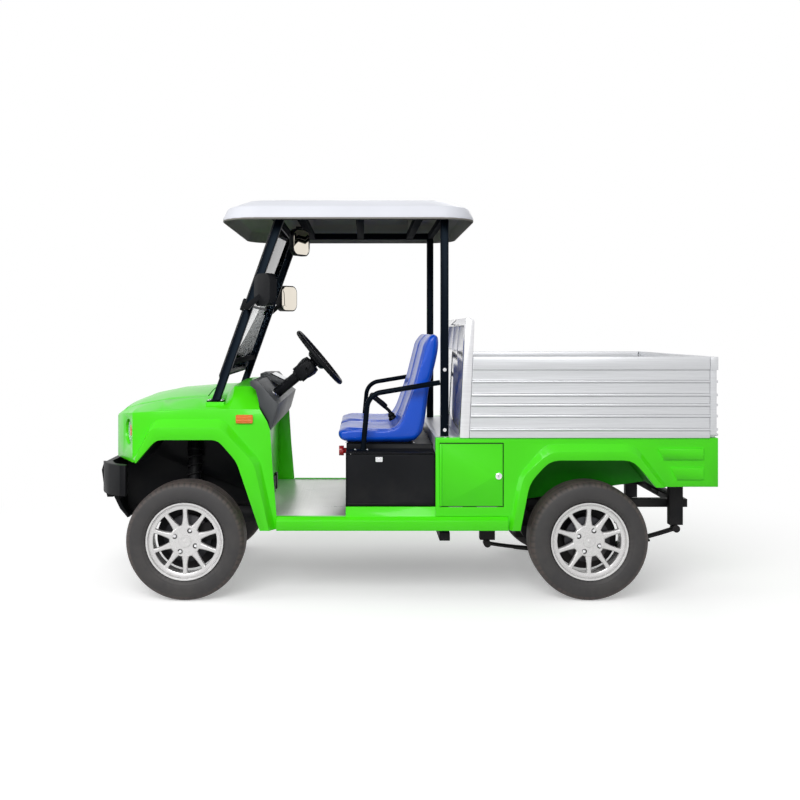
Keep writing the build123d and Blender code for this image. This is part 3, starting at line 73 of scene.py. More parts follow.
camera_data = bpy.data.cameras.new("side_camera")
camera_data.sensor_width = SENSOR_MM
camera_data.lens = SENSOR_MM * FOCAL_PX / PHOTO_PX
camera_data.shift_x = 0.5 - AXIS_PX[0] / PHOTO_PX
camera_data.shift_y = AXIS_PX[1] / PHOTO_PX - 0.5
side_camera = bpy.data.objects.new("side_camera", camera_data)
side_camera.location = CAMERA_AT
side_camera.rotation_euler = (radians(90), 0, radians(180))
bpy.context.collection.objects.link(side_camera)
bpy.context.scene.camera = side_camera
bpy.context.scene.view_settings.view_transform = "Standard"
print(f"camera: {camera_data.lens:.1f} mm lens, shifted {camera_data.shift_x:.3f}, {camera_data.shift_y:.3f}")

# %% [markdown]
# ## Building node trees in few lines
# Every finish below is a small network of shader nodes. Nodes can be placed by hand in the editor; in a
# script it is shorter to have one helper that adds a node and sets or links its inputs in the same line,
# and one that opens a node group with named sockets.

# %% Node helpers
def node(tree, kind, inputs=(), **settings):
    """Adds a shader node; each input has a name or number, and a constant or the output that feeds it."""
    made = tree.nodes.new("ShaderNode" + kind)
    for key, value in settings.items():
        setattr(made, key, value)
    for key, value in dict(inputs).items():
        if isinstance(value, bpy.types.NodeSocket):
            tree.links.new(value, made.inputs[key])
        else:
            made.inputs[key].default_value = value
    return made


def calc(tree, operation, a, b=0.0):
    """One sum on two numbers or outputs."""
    return node(tree, "Math", {0: a, 1: b}, operation=operation).outputs[0]


def ramp(tree, value, low, high):
    """0 below low, 1 above high, and smooth between."""
    return node(tree, "MapRange", {"Value": value, "From Min": low, "From Max": high},
                interpolation_type="SMOOTHSTEP").outputs[0]


def between(tree, mask, first, second):
    """The first colour where the mask is 0, the second where it is 1."""
    return node(tree, "Mix", {0: mask, 6: first, 7: second}, data_type="RGBA").outputs[2]


# %% Group helpers
def open_group(name, inputs, outputs):
    """A node group with number inputs and outputs; returns it with its input and output sockets."""
    tree = bpy.data.node_groups.new(name, "ShaderNodeTree")
    for label, value in inputs.items():
        socket = tree.interface.new_socket(label, in_out="INPUT", socket_type="NodeSocketFloat")
        socket.default_value = value
    for label in outputs:
        tree.interface.new_socket(label, in_out="OUTPUT", socket_type="NodeSocketFloat")
    return tree, tree.nodes.new("NodeGroupInput").outputs, tree.nodes.new("NodeGroupOutput").inputs


def place(tree, group, **inputs):
    """Puts a node group into a material, with its own values."""
    made = tree.nodes.new("ShaderNodeGroup")
    made.node_tree = group
    for key, value in inputs.items():
        made.inputs[key].default_value = value
    return made.outputs


def object_spot(tree):
    """The place on the piece itself, which moves with it."""
    return node(tree, "TexCoord").outputs["Object"]


print("helpers ready")

# %% [markdown]
# ## Studio: a pale floor and soft light
# A catalogue picture has a white ground that keeps a faint shadow. A lit white plane would go grey
# towards the horizon, so far from the truck the floor turns into plain white for the rays that look at
# it. Near the truck it stays a matt surface that takes the shadow, with a little glow of its own for the
# same rays, so that it is pale without more light on the truck. The truck was photographed on a road,
# which throws little light up, so the floor is darker for the light that it sends on. One large lamp
# above the camera's side gives the broad highlights on the paint, a lower one at the nose lifts the
# front, a weak one lights the far side, and the world fills in the rest.

# %% Floor
FLOOR_HALF = 30.0
FLOOR_DROP = 0.0005
FLOOR_NEAR, FLOOR_FAR = 1.6, 3.4
FLOOR_TONES = (0.90, 0.90, 0.90, 1), (0.94, 0.94, 0.94, 1)
BOUNCE = (0.35, 0.35, 0.35, 1)
FLOOR_GLOW = 0.33
WHITE = (1, 1, 1, 1)


def seen_rays(tree):
    """1 for rays that look at a surface: from the camera, or by way of a gloss or through glass."""
    path = node(tree, "LightPath").outputs
    direct = calc(tree, "MAXIMUM", path["Is Camera Ray"], path["Is Glossy Ray"])
    return calc(tree, "MAXIMUM", direct, path["Is Transmission Ray"])


floor_mesh = bpy.data.meshes.new("studio_floor")
floor_corners = [(x * FLOOR_HALF, y * FLOOR_HALF, 0) for x, y in ((-1, -1), (1, -1), (1, 1), (-1, 1))]
floor_mesh.from_pydata(floor_corners, [], [(0, 1, 2, 3)])
studio_floor = bpy.data.objects.new("studio_floor", floor_mesh)
studio_floor.location.z = -FLOOR_DROP
bpy.context.collection.objects.link(studio_floor)
print("floor: matt within", FLOOR_NEAR, "m, white beyond", FLOOR_FAR, "m")

# %% Floor finish
floor_finish = bpy.data.materials.new("studio_floor")
floor_finish.use_nodes = True
floor_mesh.materials.append(floor_finish)
tree = floor_finish.node_tree
matt = tree.nodes["Principled BSDF"]
matt.inputs["Roughness"].default_value = 0.9
matt.inputs["Specular IOR Level"].default_value = 0.1
speck = node(tree, "TexNoise", {"Scale": 3.0, "Detail": 3.0})
pale = between(tree, speck.outputs[0], *FLOOR_TONES)
sent_on = node(tree, "LightPath").outputs["Is Diffuse Ray"]
tree.links.new(between(tree, sent_on, pale, BOUNCE), matt.inputs["Base Color"])
reach = node(tree, "VectorMath", {0: object_spot(tree)}, operation="LENGTH").outputs["Value"]
seen = seen_rays(tree)
glow = node(tree, "Emission", {"Color": WHITE, "Strength": calc(tree, "MULTIPLY", seen, FLOOR_GLOW)})
near = node(tree, "AddShader", {0: matt.outputs[0], 1: glow.outputs[0]})
white = node(tree, "Emission", {"Color": WHITE, "Strength": 1.0})
far = calc(tree, "MULTIPLY", ramp(tree, reach, FLOOR_NEAR, FLOOR_FAR), seen)
ground = node(tree, "MixShader", {0: far, 1: near.outputs[0], 2: white.outputs[0]})
tree.links.new(ground.outputs[0], tree.nodes["Material Output"].inputs["Surface"])
print("floor finish: glow", FLOOR_GLOW, "for the rays that look at it")

# %% World and lamps
WORLD_LIGHT = 0.50
world = bpy.data.worlds.new("studio")
world.use_nodes = True
bpy.context.scene.world = world
tree = world.node_tree
level = node(tree, "MapRange", {"Value": seen_rays(tree), "To Min": WORLD_LIGHT, "To Max": 1.0})
tree.links.new(level.outputs[0], tree.nodes["Background"].inputs["Strength"])
tree.nodes["Background"].inputs["Color"].default_value = WHITE

# Columns are name, place, point that it faces, width, height, watts
lamp_table = [
    ("key_softbox", (1.2, 5.0, 3.7), (0.0, 0.0, 0.8), 4.0, 2.4, 195),
    ("nose_softbox", (4.6, 1.6, 2.2), (0.9, 0.0, 0.6), 1.8, 2.0, 30),
    ("far_softbox", (-1.0, -4.2, 3.8), (0.0, 0.0, 0.8), 3.0, 2.0, 35),
]
for name, at, aim, width, height, watts in lamp_table:
    softbox = bpy.data.lights.new(name, "AREA")
    softbox.shape, softbox.size, softbox.size_y, softbox.energy = "RECTANGLE", width, height, watts
    lamp = bpy.data.objects.new(name, softbox)
    lamp.location = at
    lamp.rotation_euler = (Vector(aim) - Vector(at)).to_track_quat("-Z", "Y").to_euler()
    bpy.context.collection.objects.link(lamp)
print("lamps:", [row[0] for row in lamp_table])

# %% [markdown]
# ## Shared surface effects
# Paint, plastic, metal and rubber differ in colour, but they share what use and making leave on them:
# fine grain, brushing lines, scuffed edges and dust. Each of these is a node group that puts out a mask
# or a height, so one recipe serves many finishes with its own strength in each. They read the coordinates
# of the piece itself, so that the marks stay where they are when a wheel or a panel turns.

# %% Grain
FINE_SHARE = 0.35
grain, given, result = open_group("fine_grain", {"Scale": 400.0, "Contrast": 0.3}, ["Height", "Tone"])
spot = object_spot(grain)
fine = node(grain, "TexNoise", {"Vector": spot, "Scale": given["Scale"], "Detail": 4.0, "Roughness": 0.6})
broad = node(grain, "TexNoise", {"Vector": spot, "Scale": 5.0, "Detail": 3.0})
grain.links.new(fine.outputs[0], result["Height"])
shade = calc(grain, "ADD", calc(grain, "MULTIPLY", fine.outputs[0], FINE_SHARE),
             calc(grain, "MULTIPLY", broad.outputs[0], 1 - FINE_SHARE))
low = calc(grain, "SUBTRACT", 0.5, given["Contrast"])
high = calc(grain, "ADD", 0.5, given["Contrast"])
grain.links.new(ramp(grain, shade, low, high), result["Tone"])
print("group:", grain.name)

# %% Brushing lines
brushed, given, result = open_group("brush_lines", {"Along": 3.0, "Across": 260.0}, ["Height", "Tone"])
spot = node(brushed, "SeparateXYZ", {0: object_spot(brushed)}).outputs
drawn = node(brushed, "CombineXYZ", {
    "X": calc(brushed, "MULTIPLY", spot[0], given["Along"]),
    "Y": calc(brushed, "MULTIPLY", spot[1], given["Along"]),
    "Z": calc(brushed, "MULTIPLY", spot[2], given["Across"]),
}).outputs[0]
line = node(brushed, "TexNoise", {"Vector": drawn, "Scale": 1.0, "Detail": 5.0, "Roughness": 0.65})
brushed.links.new(line.outputs[0], result["Height"])
brushed.links.new(ramp(brushed, line.outputs[0], 0.3, 0.7), result["Tone"])
print("group:", brushed.name)

# %% Scuffed edges
scuffs, given, result = open_group("scuffed_edges", {"Amount": 0.5, "Reach": 0.004}, ["Mask"])
rounded = node(scuffs, "Bevel", {"Radius": given["Reach"]}, samples=4).outputs[0]
flat = node(scuffs, "NewGeometry").outputs["Normal"]
meet = node(scuffs, "VectorMath", {0: rounded, 1: flat}, operation="DOT_PRODUCT").outputs["Value"]
edge = ramp(scuffs, calc(scuffs, "SUBTRACT", 1.0, meet), 0.02, 0.2)
chips = node(scuffs, "TexNoise", {"Vector": object_spot(scuffs), "Scale": 60.0, "Detail": 4.0})
worn = calc(scuffs, "MULTIPLY", edge, ramp(scuffs, chips.outputs[0], 0.45, 0.62))
scuffs.links.new(calc(scuffs, "MULTIPLY", worn, given["Amount"]), result["Mask"])
print("group:", scuffs.name)

# %% Dust
dust, given, result = open_group("road_dust", {"Amount": 0.3, "Top": 0.8}, ["Mask"])
spot = object_spot(dust)
height = node(dust, "SeparateXYZ", {0: spot}).outputs[2]
low_down = calc(dust, "SUBTRACT", 1.0, calc(dust, "DIVIDE", height, given["Top"]))
clouds = node(dust, "TexNoise", {"Vector": spot, "Scale": 9.0, "Detail": 6.0, "Roughness": 0.6})
settled = calc(dust, "MULTIPLY", ramp(dust, low_down, 0.0, 1.0), ramp(dust, clouds.outputs[0], 0.35, 0.7))
dust.links.new(calc(dust, "MULTIPLY", settled, given["Amount"]), result["Mask"])
print("group:", dust.name)

# %% [markdown]
# ## One recipe for painted, moulded and metal parts
# Most parts of the truck are one solid colour under some gloss. Their finish is made by one function: two
# close tones of the colour follow the grain, the edges are scuffed towards a bare tone, dust lies over
# the lower parts, and the grain also feeds a bump and the roughness. Values that are the same all over a
# surface, such as the coat, are set straight on the shader.

# %% The solid finish
DUST_TONE = (0.42, 0.38, 0.33, 1)
EVEN_ROUGH, PATCHY_ROUGH, DUST_ROUGH = 0.85, 0.3, 0.5
finishes = {}


def tone(colour, share):
    """A colour made darker (below 1) or lighter (above 1)."""
    return tuple(min(1.0, c * share) for c in colour[:3]) + (1,)


def new_finish(name, constants):
    """An empty finish with the values that are the same all over it; returns its node tree and shader."""
    finishes[name] = bpy.data.materials.new(name)
    finishes[name].use_nodes = True
    tree = finishes[name].node_tree
    shader = tree.nodes["Principled BSDF"]
    for socket, value in constants.items():
        shader.inputs[socket.replace("_", " ")].default_value = value
    return tree, shader


def fed_by(shader, socket):
    """What feeds a socket of the shader so far."""
    return shader.inputs[socket].links[0].from_socket


def solid_finish(name, colour, rough, spread=0.05, grain_scale=400.0, bump=0.02, dusty=0.1, scuffed=0.0,
                 bare=(0.5, 0.5, 0.5, 1), lines=False, **constants):
    """A one-colour finish with grain or lines, scuffs and dust; constants go on the shader's own sockets."""
    tree, shader = new_finish(name, constants)
    texture = place(tree, brushed) if lines else place(tree, grain, Scale=grain_scale)
    surface = between(tree, texture["Tone"], tone(colour, 1 - spread), tone(colour, 1 + spread))
    if scuffed:
        surface = between(tree, place(tree, scuffs, Amount=scuffed)["Mask"], surface, bare)
    film = place(tree, dust, Amount=dusty)["Mask"]
    tree.links.new(between(tree, film, surface, DUST_TONE), shader.inputs["Base Color"])
    patches = calc(tree, "MULTIPLY", texture["Tone"], PATCHY_ROUGH * rough)
    worn_rough = calc(tree, "ADD", patches, EVEN_ROUGH * rough)
    dusty_rough = calc(tree, "MULTIPLY", film, DUST_ROUGH)
    tree.links.new(calc(tree, "ADD", worn_rough, dusty_rough), shader.inputs["Roughness"])
    relief = node(tree, "Bump", {"Strength": bump, "Distance": MM, "Height": texture["Height"]})
    tree.links.new(relief.outputs[0], shader.inputs["Normal"])
    return tree, shader


print("recipe ready")

# %% [markdown]
# ## Body paint, frame paint and plastics
# The cowl, sills and rear body are sprayed in a bright grass green with a clear coat, so they show sharp
# highlights over a strong colour; inside the wheel arches the same paint is dull and has painted shade.
# The canopy posts and armrests are coated in black; their faint blue and the blue tint on their highlights
# are a painted reflection. The rails under the roof are a matt black.
# The bumper, seat base, mirrors and column are moulded in black plastic with a fine texture, and the
# dashboard in a grey one.

# %% Paint and plastic
GREEN = (0.072, 0.770, 0.005)
solid_finish("body_green", GREEN, 0.30, spread=0.03, grain_scale=700, bump=0.015, dusty=0.03,
             Coat_Weight=0.2, Coat_Roughness=0.06, Specular_IOR_Level=0.2)
# The arch green is the body green darkened with painted shade for the shadow inside the wheel arches
solid_finish("arch_green_painted_shade", (0.010, 0.240, 0.004), 0.5, spread=0.15, grain_scale=500, bump=0.1, dusty=0.05,
             Specular_IOR_Level=0.2)
# The faint blue of frame_black and its blue Specular_Tint are a painted reflection on black paint
solid_finish("frame_black", (0.002, 0.003, 0.006), 0.32, spread=0.2, grain_scale=900, bump=0.03, dusty=0.02,
             scuffed=0.12, bare=(0.10, 0.10, 0.11, 1), Specular_IOR_Level=0.06,
             Specular_Tint=(0.5, 0.75, 1.0, 1))
solid_finish("rail_black", (0.003, 0.004, 0.006), 0.85, spread=0.2, grain_scale=900, bump=0.03, dusty=0.02,
             Specular_IOR_Level=0.02)
solid_finish("moulded_black", (0.004, 0.0045, 0.006), 0.46, spread=0.2, grain_scale=1500, bump=0.12,
             dusty=0.04, scuffed=0.12, bare=(0.07, 0.07, 0.075, 1), Specular_IOR_Level=0.12)
solid_finish("dash_grey", (0.034, 0.038, 0.042), 0.5, spread=0.1, grain_scale=1600, bump=0.15, dusty=0.04,
             scuffed=0.2, bare=(0.2, 0.2, 0.2, 1))
solid_finish("battery_case", (0.03, 0.03, 0.035), 0.55, spread=0.2, grain_scale=1200, bump=0.1, dusty=0.1)
solid_finish("switch_red", (0.50, 0.012, 0.015), 0.3, spread=0.1, grain_scale=900, bump=0.05, dusty=0.05,
             Coat_Weight=0.4)
solid_finish("seal_rubber", (0.02, 0.02, 0.021), 0.6, spread=0.2, grain_scale=900, bump=0.1, dusty=0.08)
print("finishes:", sorted(finishes))

# %% [markdown]
# ## Roof: white above, painted shade underneath
# The roof is one moulding, glossy white outside, and grey and dull where it looks down, the grey being
# painted shade for the roof's own shadow. Its faces could be sorted into two materials by hand; here the
# direction of the surface does it. What looks down gets the painted shade, and so do the sides and ends of
# the stiffening ribs, which look sideways but lie in the shadow under the roof.

# %% Roof moulding
ROOF_MIDDLE = 0.272
RIB_ZONE = (0.55, 0.45)
ROOF_PAINTED_SHADE = (0.235, 0.225, 0.205, 1)
INSIDE_ROUGH = 0.55
tree, shader = solid_finish("roof_white", (0.72, 0.735, 0.79), 0.36, spread=0.03, grain_scale=500, bump=0.02,
                            dusty=0.0, Specular_IOR_Level=0.12)
facing = node(tree, "SeparateXYZ", {0: node(tree, "TexCoord").outputs["Normal"]}).outputs
spot = node(tree, "SeparateXYZ", {0: object_spot(tree)}).outputs
# Painted shade: grey where the roof looks down, and on the ribs' sides and ends beneath it
underside_shade = ramp(tree, calc(tree, "MULTIPLY", facing[2], -1.0), 0.03, 0.12)
for axis, middle, zone in ((0, ROOF_MIDDLE, RIB_ZONE[0]), (1, 0.0, RIB_ZONE[1])):
    off_middle = calc(tree, "ABSOLUTE", calc(tree, "SUBTRACT", spot[axis], middle))
    sideways = ramp(tree, calc(tree, "ABSOLUTE", facing[axis]), 0.8, 0.9)
    on_rib = calc(tree, "MULTIPLY", sideways, calc(tree, "LESS_THAN", off_middle, zone))
    underside_shade = calc(tree, "MAXIMUM", underside_shade, on_rib)
tree.links.new(between(tree, underside_shade, fed_by(shader, "Base Color"), ROOF_PAINTED_SHADE), shader.inputs["Base Color"])
dull = calc(tree, "MULTIPLY", underside_shade, INSIDE_ROUGH)
tree.links.new(calc(tree, "ADD", fed_by(shader, "Roughness"), dull), shader.inputs["Roughness"])
print("roof: grey where it looks down or is a rib")

# %% [markdown]
# ## Metals
# The bed is folded from aluminium sheet, which keeps faint lines from rolling. Cast rims are sprayed
# silver and glitter a little, the suspension is black steel with bare edges, and the brakes are turned
# iron with rust in the pores. Bare steel is a full metal, whose colour is its reflection. Lacquered and
# oxidised metal also scatters light, so bed, rims and brakes have Metallic at about half.

# %% Metal finishes
solid_finish("bed_silver", (0.66, 0.67, 0.69), 0.36, spread=0.06, bump=0.05, dusty=0.03, lines=True,
             scuffed=0.15, bare=(0.9, 0.9, 0.9, 1), Metallic=0.55)
solid_finish("rim_alloy", (0.66, 0.65, 0.65), 0.27, spread=0.03, grain_scale=2600, bump=0.008, dusty=0.03,
             Metallic=0.55, Coat_Weight=0.3, Coat_Roughness=0.12)
solid_finish("bright_steel", (0.78, 0.78, 0.80), 0.2, spread=0.08, grain_scale=1800, bump=0.03, dusty=0.08,
             Metallic=1.0)
solid_finish("chassis_steel", (0.006, 0.006, 0.008), 0.5, spread=0.3, grain_scale=500, bump=0.15, dusty=0.06,
             scuffed=0.15, bare=(0.08, 0.075, 0.07, 1), Specular_IOR_Level=0.15)
solid_finish("brake_iron", (0.020, 0.020, 0.026), 0.4, spread=0.25, grain_scale=700, bump=0.15, dusty=0.08,
             scuffed=0.3, bare=(0.16, 0.10, 0.07, 1), Metallic=0.4)
print("finishes:", len(finishes))

# %% [markdown]
# ## Headboard: one sheet with a polished front
# The board between cab and bed is the same aluminium, but its front face is polished and mirrors what
# stands before it. Painting two materials on one CAD node would need its faces sorted; here the direction
# of the surface does it again, because only the front face looks forwards.

# %% Polished front
POLISH = 0.8
tree, shader = solid_finish("board_silver", (0.76, 0.76, 0.78), 0.34, spread=0.06, bump=0.05, dusty=0.03,
                            lines=True, Metallic=0.75)
facing = node(tree, "TexCoord").outputs["Normal"]
front = ramp(tree, node(tree, "SeparateXYZ", {0: facing}).outputs[0], 0.8, 0.9)
dull = calc(tree, "SUBTRACT", 1.0, calc(tree, "MULTIPLY", front, POLISH))
tree.links.new(calc(tree, "MULTIPLY", fed_by(shader, "Roughness"), dull), shader.inputs["Roughness"])
print("polished where the board faces forwards")

# %% [markdown]
# ## Tread plate
# The cab floor is checker plate: aluminium rolled with short raised bars that lie at right angles to
# their neighbours. Thousands of bars would be heavy as mesh, and they stand only two millimetres high, so
# they are a bump. A checkerboard of cells decides which way a bar lies, and inside its cell a bar is a
# long thin oval.

# %% Tread bars
BAR_PITCH = 0.028
BAR_LONG, BAR_NARROW = 2.2, 7.0
bars, given, result = open_group("tread_bars", {"Pitch": BAR_PITCH}, ["Height", "Mask"])
spot = node(bars, "SeparateXYZ", {0: object_spot(bars)}).outputs
diagonals = [calc(bars, way, spot[0], spot[1]) for way in ("ADD", "SUBTRACT")]
slanted = [calc(bars, "DIVIDE", t, given["Pitch"]) for t in diagonals]
cell = [calc(bars, "FLOOR", t) for t in slanted]
in_cell = [calc(bars, "SUBTRACT", calc(bars, "FRACT", t), 0.5) for t in slanted]
odd = calc(bars, "MODULO", calc(bars, "ABSOLUTE", calc(bars, "ADD", cell[0], cell[1])), 2.0)
ovals = []
for long_way in (0, 1):
    along = calc(bars, "MULTIPLY", in_cell[long_way], BAR_LONG)
    across = calc(bars, "MULTIPLY", in_cell[1 - long_way], BAR_NARROW)
    squares = calc(bars, "ADD", calc(bars, "POWER", along, 2.0), calc(bars, "POWER", across, 2.0))
    ovals.append(ramp(bars, calc(bars, "SUBTRACT", 1.0, squares), 0.0, 0.5))
picked = node(bars, "Mix", {0: odd, 2: ovals[0], 3: ovals[1]}, data_type="FLOAT").outputs[0]
bars.links.new(picked, result["Height"])
bars.links.new(picked, result["Mask"])
print("tread bars every", round(BAR_PITCH / sqrt(2) / MM), "mm")

# %% Tread plate
BAR_TOP = (0.86, 0.86, 0.85, 1)
tree, shader = solid_finish("tread_plate", (0.80, 0.80, 0.78), 0.3, spread=0.12, bump=0.05, dusty=0.12,
                            grain_scale=300, Metallic=0.5)
raised = place(tree, bars)
relief = node(tree, "Bump", {"Strength": 0.8, "Distance": 3 * MM, "Height": raised["Height"],
                             "Normal": fed_by(shader, "Normal")})
tree.links.new(relief.outputs[0], shader.inputs["Normal"])
rubbed = between(tree, raised["Mask"], fed_by(shader, "Base Color"), BAR_TOP)
tree.links.new(rubbed, shader.inputs["Base Color"])
print("tread plate done")

# %% [markdown]
# ## Vinyl and tyre rubber
# The seats are covered in glossy blue vinyl, which has a leather-like grain too fine for mesh. Tyre
# rubber is nearly black when new, and the road turns its tread grey: the tread is what lies far from the
# wheel's axle, and each tyre keeps that distance in a vertex attribute, so that the mask turns with the
# wheel.

# %% Vinyl
PORES_PER_M = 420.0
tree, shader = solid_finish("seat_blue", (0.001, 0.080, 0.620), 0.3, spread=0.06, bump=0.05, dusty=0.0,
                            Coat_Weight=0.25, Coat_Roughness=0.12, Specular_IOR_Level=0.3)
pores = node(tree, "TexVoronoi", {"Vector": object_spot(tree), "Scale": PORES_PER_M})
leather = node(tree, "Bump", {"Strength": 0.10, "Distance": MM, "Height": pores.outputs["Distance"],
                              "Normal": fed_by(shader, "Normal")})
tree.links.new(leather.outputs[0], shader.inputs["Normal"])
print(f"vinyl grain: {1 / PORES_PER_M / MM:.1f} mm cells")

# %% Rubber
ROAD_GREY = (0.085, 0.066, 0.060, 1)
tree, shader = solid_finish("tyre_rubber", (0.032, 0.030, 0.031), 0.6, spread=0.15, grain_scale=700,
                            bump=0.12, dusty=0.05)
worn = node(tree, "Attribute", attribute_name="tread").outputs["Fac"]
patches = node(tree, "TexNoise", {"Vector": object_spot(tree), "Scale": 14.0, "Detail": 5.0})
grey = calc(tree, "MULTIPLY", worn, ramp(tree, patches.outputs[0], 0.2, 0.6))
tree.links.new(between(tree, grey, fed_by(shader, "Base Color"), ROAD_GREY), shader.inputs["Base Color"])
print("rubber: road grey where the attribute 'tread' is 1")

# %% [markdown]
# ## Glass, mirrors and lamps
# Windscreen and clear lenses let light through, so Transmission Weight is 1 on the shader itself and
# stays plain. Coloured lenses are ribbed to spread the light; the ribs are a wave texture in the bump.
# They are dyed through, which a strong base colour with a little transmission shows well even where the
# lamp behind is dark. Mirrors and reflectors use the same recipe with no light through and Metallic at 1.

# %% Clear and dyed lenses
LENS_RIBS = 143
WAVE_PHASE = 20
SMEAR_ROUGH = 0.06


def lens_finish(name, colour, rough, ribs=0, **constants):
    """Glass or lens plastic with that number of ribs per metre and faint smears."""
    tree, shader = new_finish(name, constants)
    spot = object_spot(tree)
    smear = node(tree, "TexNoise", {"Vector": spot, "Scale": 12.0, "Detail": 5.0}).outputs[0]
    tinted = between(tree, smear, tone(colour, 0.94), tone(colour, 1.04))
    tree.links.new(tinted, shader.inputs["Base Color"])
    rubbed = calc(tree, "MULTIPLY", ramp(tree, smear, 0.45, 0.75), SMEAR_ROUGH)
    tree.links.new(calc(tree, "ADD", rubbed, rough), shader.inputs["Roughness"])
    height, strength = smear, 0.01
    if ribs:
        wave = node(tree, "TexWave", {"Vector": spot, "Scale": ribs * tau / WAVE_PHASE}, bands_direction="Z")
        height, strength = wave.outputs[1], 0.6
    relief = node(tree, "Bump", {"Strength": strength, "Distance": 2 * MM, "Height": height})
    tree.links.new(relief.outputs[0], shader.inputs["Normal"])


dyed = {"ribs": LENS_RIBS, "Transmission_Weight": 0.1, "Coat_Weight": 0.1, "Specular_IOR_Level": 0.3}
lens_finish("glass_clear", (0.93, 0.96, 0.95), 0.0, Transmission_Weight=1.0, IOR=1.45)
lens_finish("lamp_clear", (0.95, 0.97, 0.98), 0.02, Transmission_Weight=1.0, IOR=1.45)
lens_finish("lamp_amber", (0.88, 0.18, 0.004), 0.2, **dyed)
lens_finish("lamp_red", (0.46, 0.004, 0.006), 0.2, **dyed)
lens_finish("display_pale", (0.55, 0.60, 0.66), 0.10, Coat_Weight=0.7)
lens_finish("mirror_face", (0.82, 0.76, 0.66), 0.01, Metallic=1.0)
lens_finish("reflector_chrome", (0.62, 0.64, 0.64), 0.08, Metallic=1.0)
print("lenses and mirrors done,", len(finishes), "finishes in all")

# %% [markdown]
# ## Finishing the CAD panels
# The panels keep their CAD shape. A pressed or moulded panel never has a knife edge, though, and a real
# edge catches a thin line of light, so each panel gets a small bevel as a modifier and smooth shading.
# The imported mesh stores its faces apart, and a weld joins them first, so that the bevel can find the
# edges.

# %% Which panel takes which finish
panel_finish = {
    "body_green": ["front_cowl", "hood", "sills", "bulkhead", "rear_sides", "rear_panel", "side_hatch_left",
                   "side_hatch_right"],
    "arch_green_painted_shade": ["wheelhouses"],
    "frame_black": ["canopy_posts", "armrests"],
    "rail_black": ["canopy_bars"],
    "moulded_black": ["front_bumper", "front_liners", "steering_column", "mirrors", "controls", "seat_box",
                      "battery_door_left", "battery_door_right"],
    "dash_grey": ["dashboard"],
    "tread_plate": ["floor_plate"],
    "bed_silver": ["bed_floor", "bed_sides", "tailgate"],
    "board_silver": ["bed_headboard"],
    "roof_white": ["roof"],
    "battery_case": ["battery_pack"],
    "switch_red": ["power_switch"],
    "glass_clear": ["windscreen"],
    "mirror_face": ["mirror_glass"],
    "lamp_amber": ["amber_lamps"],
    "lamp_red": ["tail_lamps"],
    "chassis_steel": ["frame_rails", "frame_cross_members", "frame_uprights", "front_arms", "front_shocks",
                      "knuckle_left", "knuckle_right", "leaf_springs", "rack_bar", "rear_axle",
                      "steering_rack"],
    "brake_iron": ["disc_front_left", "disc_front_right", "drum_rear_left", "drum_rear_right"],
}
# Bevel widths in mm, where they aren't EDGE
soft_edges = {"roof": 6, "bed_sides": 4, "bed_headboard": 6, "tailgate": 4, "front_bumper": 8, "dashboard": 6,
              "windscreen": 1, "mirror_glass": 1, "amber_lamps": 3, "tail_lamps": 2, "battery_door_left": 1,
              "battery_door_right": 1, "floor_plate": 1, "mirrors": 5, "canopy_posts": 4, "canopy_bars": 4}
print("finishes for panels:", len(panel_finish))

# %% Panels
EDGE = 2.0
CREASE = radians(28)
WELD = 0.02 * MM

for finish_name, members in panel_finish.items():
    for name in members:
        panel = frame["nodes"][name]
        panel.data.materials.clear()
        panel.data.materials.append(finishes[finish_name])
        for face in panel.data.polygons:
            face.use_smooth = True
        weld = panel.modifiers.new("weld", "WELD")
        weld.merge_threshold = WELD
        bevel = panel.modifiers.new("edge", "BEVEL")
        bevel.limit_method, bevel.angle_limit = "ANGLE", CREASE
        bevel.width, bevel.segments = soft_edges.get(name, EDGE) * MM, 2
        bevel.harden_normals = True
print("panels finished:", sum(len(m) for m in panel_finish.values()))

# %% [markdown]
# ## Mesh helpers
# The finer pieces are all made of a few kinds of shape: turned rings, rods along a line, flat plates with
# a given outline, and bolt heads. Modifiers could make them too, but with plain vertices each point is
# where a drawing would put it. All pieces of one kind go into one mesh, and a face remembers which of the
# mesh's finishes it has. Tables are in millimetres, as on a drawing, and are turned into Blender's metres
# where they are used.

# %% Frames, skins and turned shapes
def metres(rows):
    """Rows of millimetres as rows of metres."""
    return [tuple(v * MM for v in row) for row in rows]


def axes_at(origin, out, along=(1, 0, 0)):
    """A frame whose Z is the direction out, and whose X lies near along."""
    z = Vector(out).normalized()
    x = (Vector(along) - z * z.dot(Vector(along))).normalized()
    return Matrix.Translation(Vector(origin)) @ Matrix((x, z.cross(x), z)).transposed().to_4x4()


def ellipse(at, wide, deep, count, height=0.0):
    """Points round an ellipse in the frame at."""
    turns = [tau * i / count for i in range(count)]
    return [at @ Vector((wide * cos(t), deep * sin(t), height)) for t in turns]


def skin(bm, rings, around=True, ends=False, finish=0):
    """Faces between rings of as many points each; around closes each ring, ends caps first and last."""
    made = [[bm.verts.new(p) for p in ring] for ring in rings]
    count = len(made[0])
    for lower, upper in zip(made, made[1:]):
        for i in range(count if around else count - 1):
            j = (i + 1) % count
            bm.faces.new((lower[i], lower[j], upper[j], upper[i])).material_index = finish
    if ends:
        for ring in (made[0][::-1], made[-1]):
            bm.faces.new(ring).material_index = finish


def turned(bm, profile, at, segments=48, closed=False, finish=0):
    """A ring or disc turned from (radius, height) points about the Z axis of the frame at."""
    rings = [ellipse(at, radius, radius, segments, height) for radius, height in profile]
    skin(bm, rings + rings[:1] if closed else rings, finish=finish)


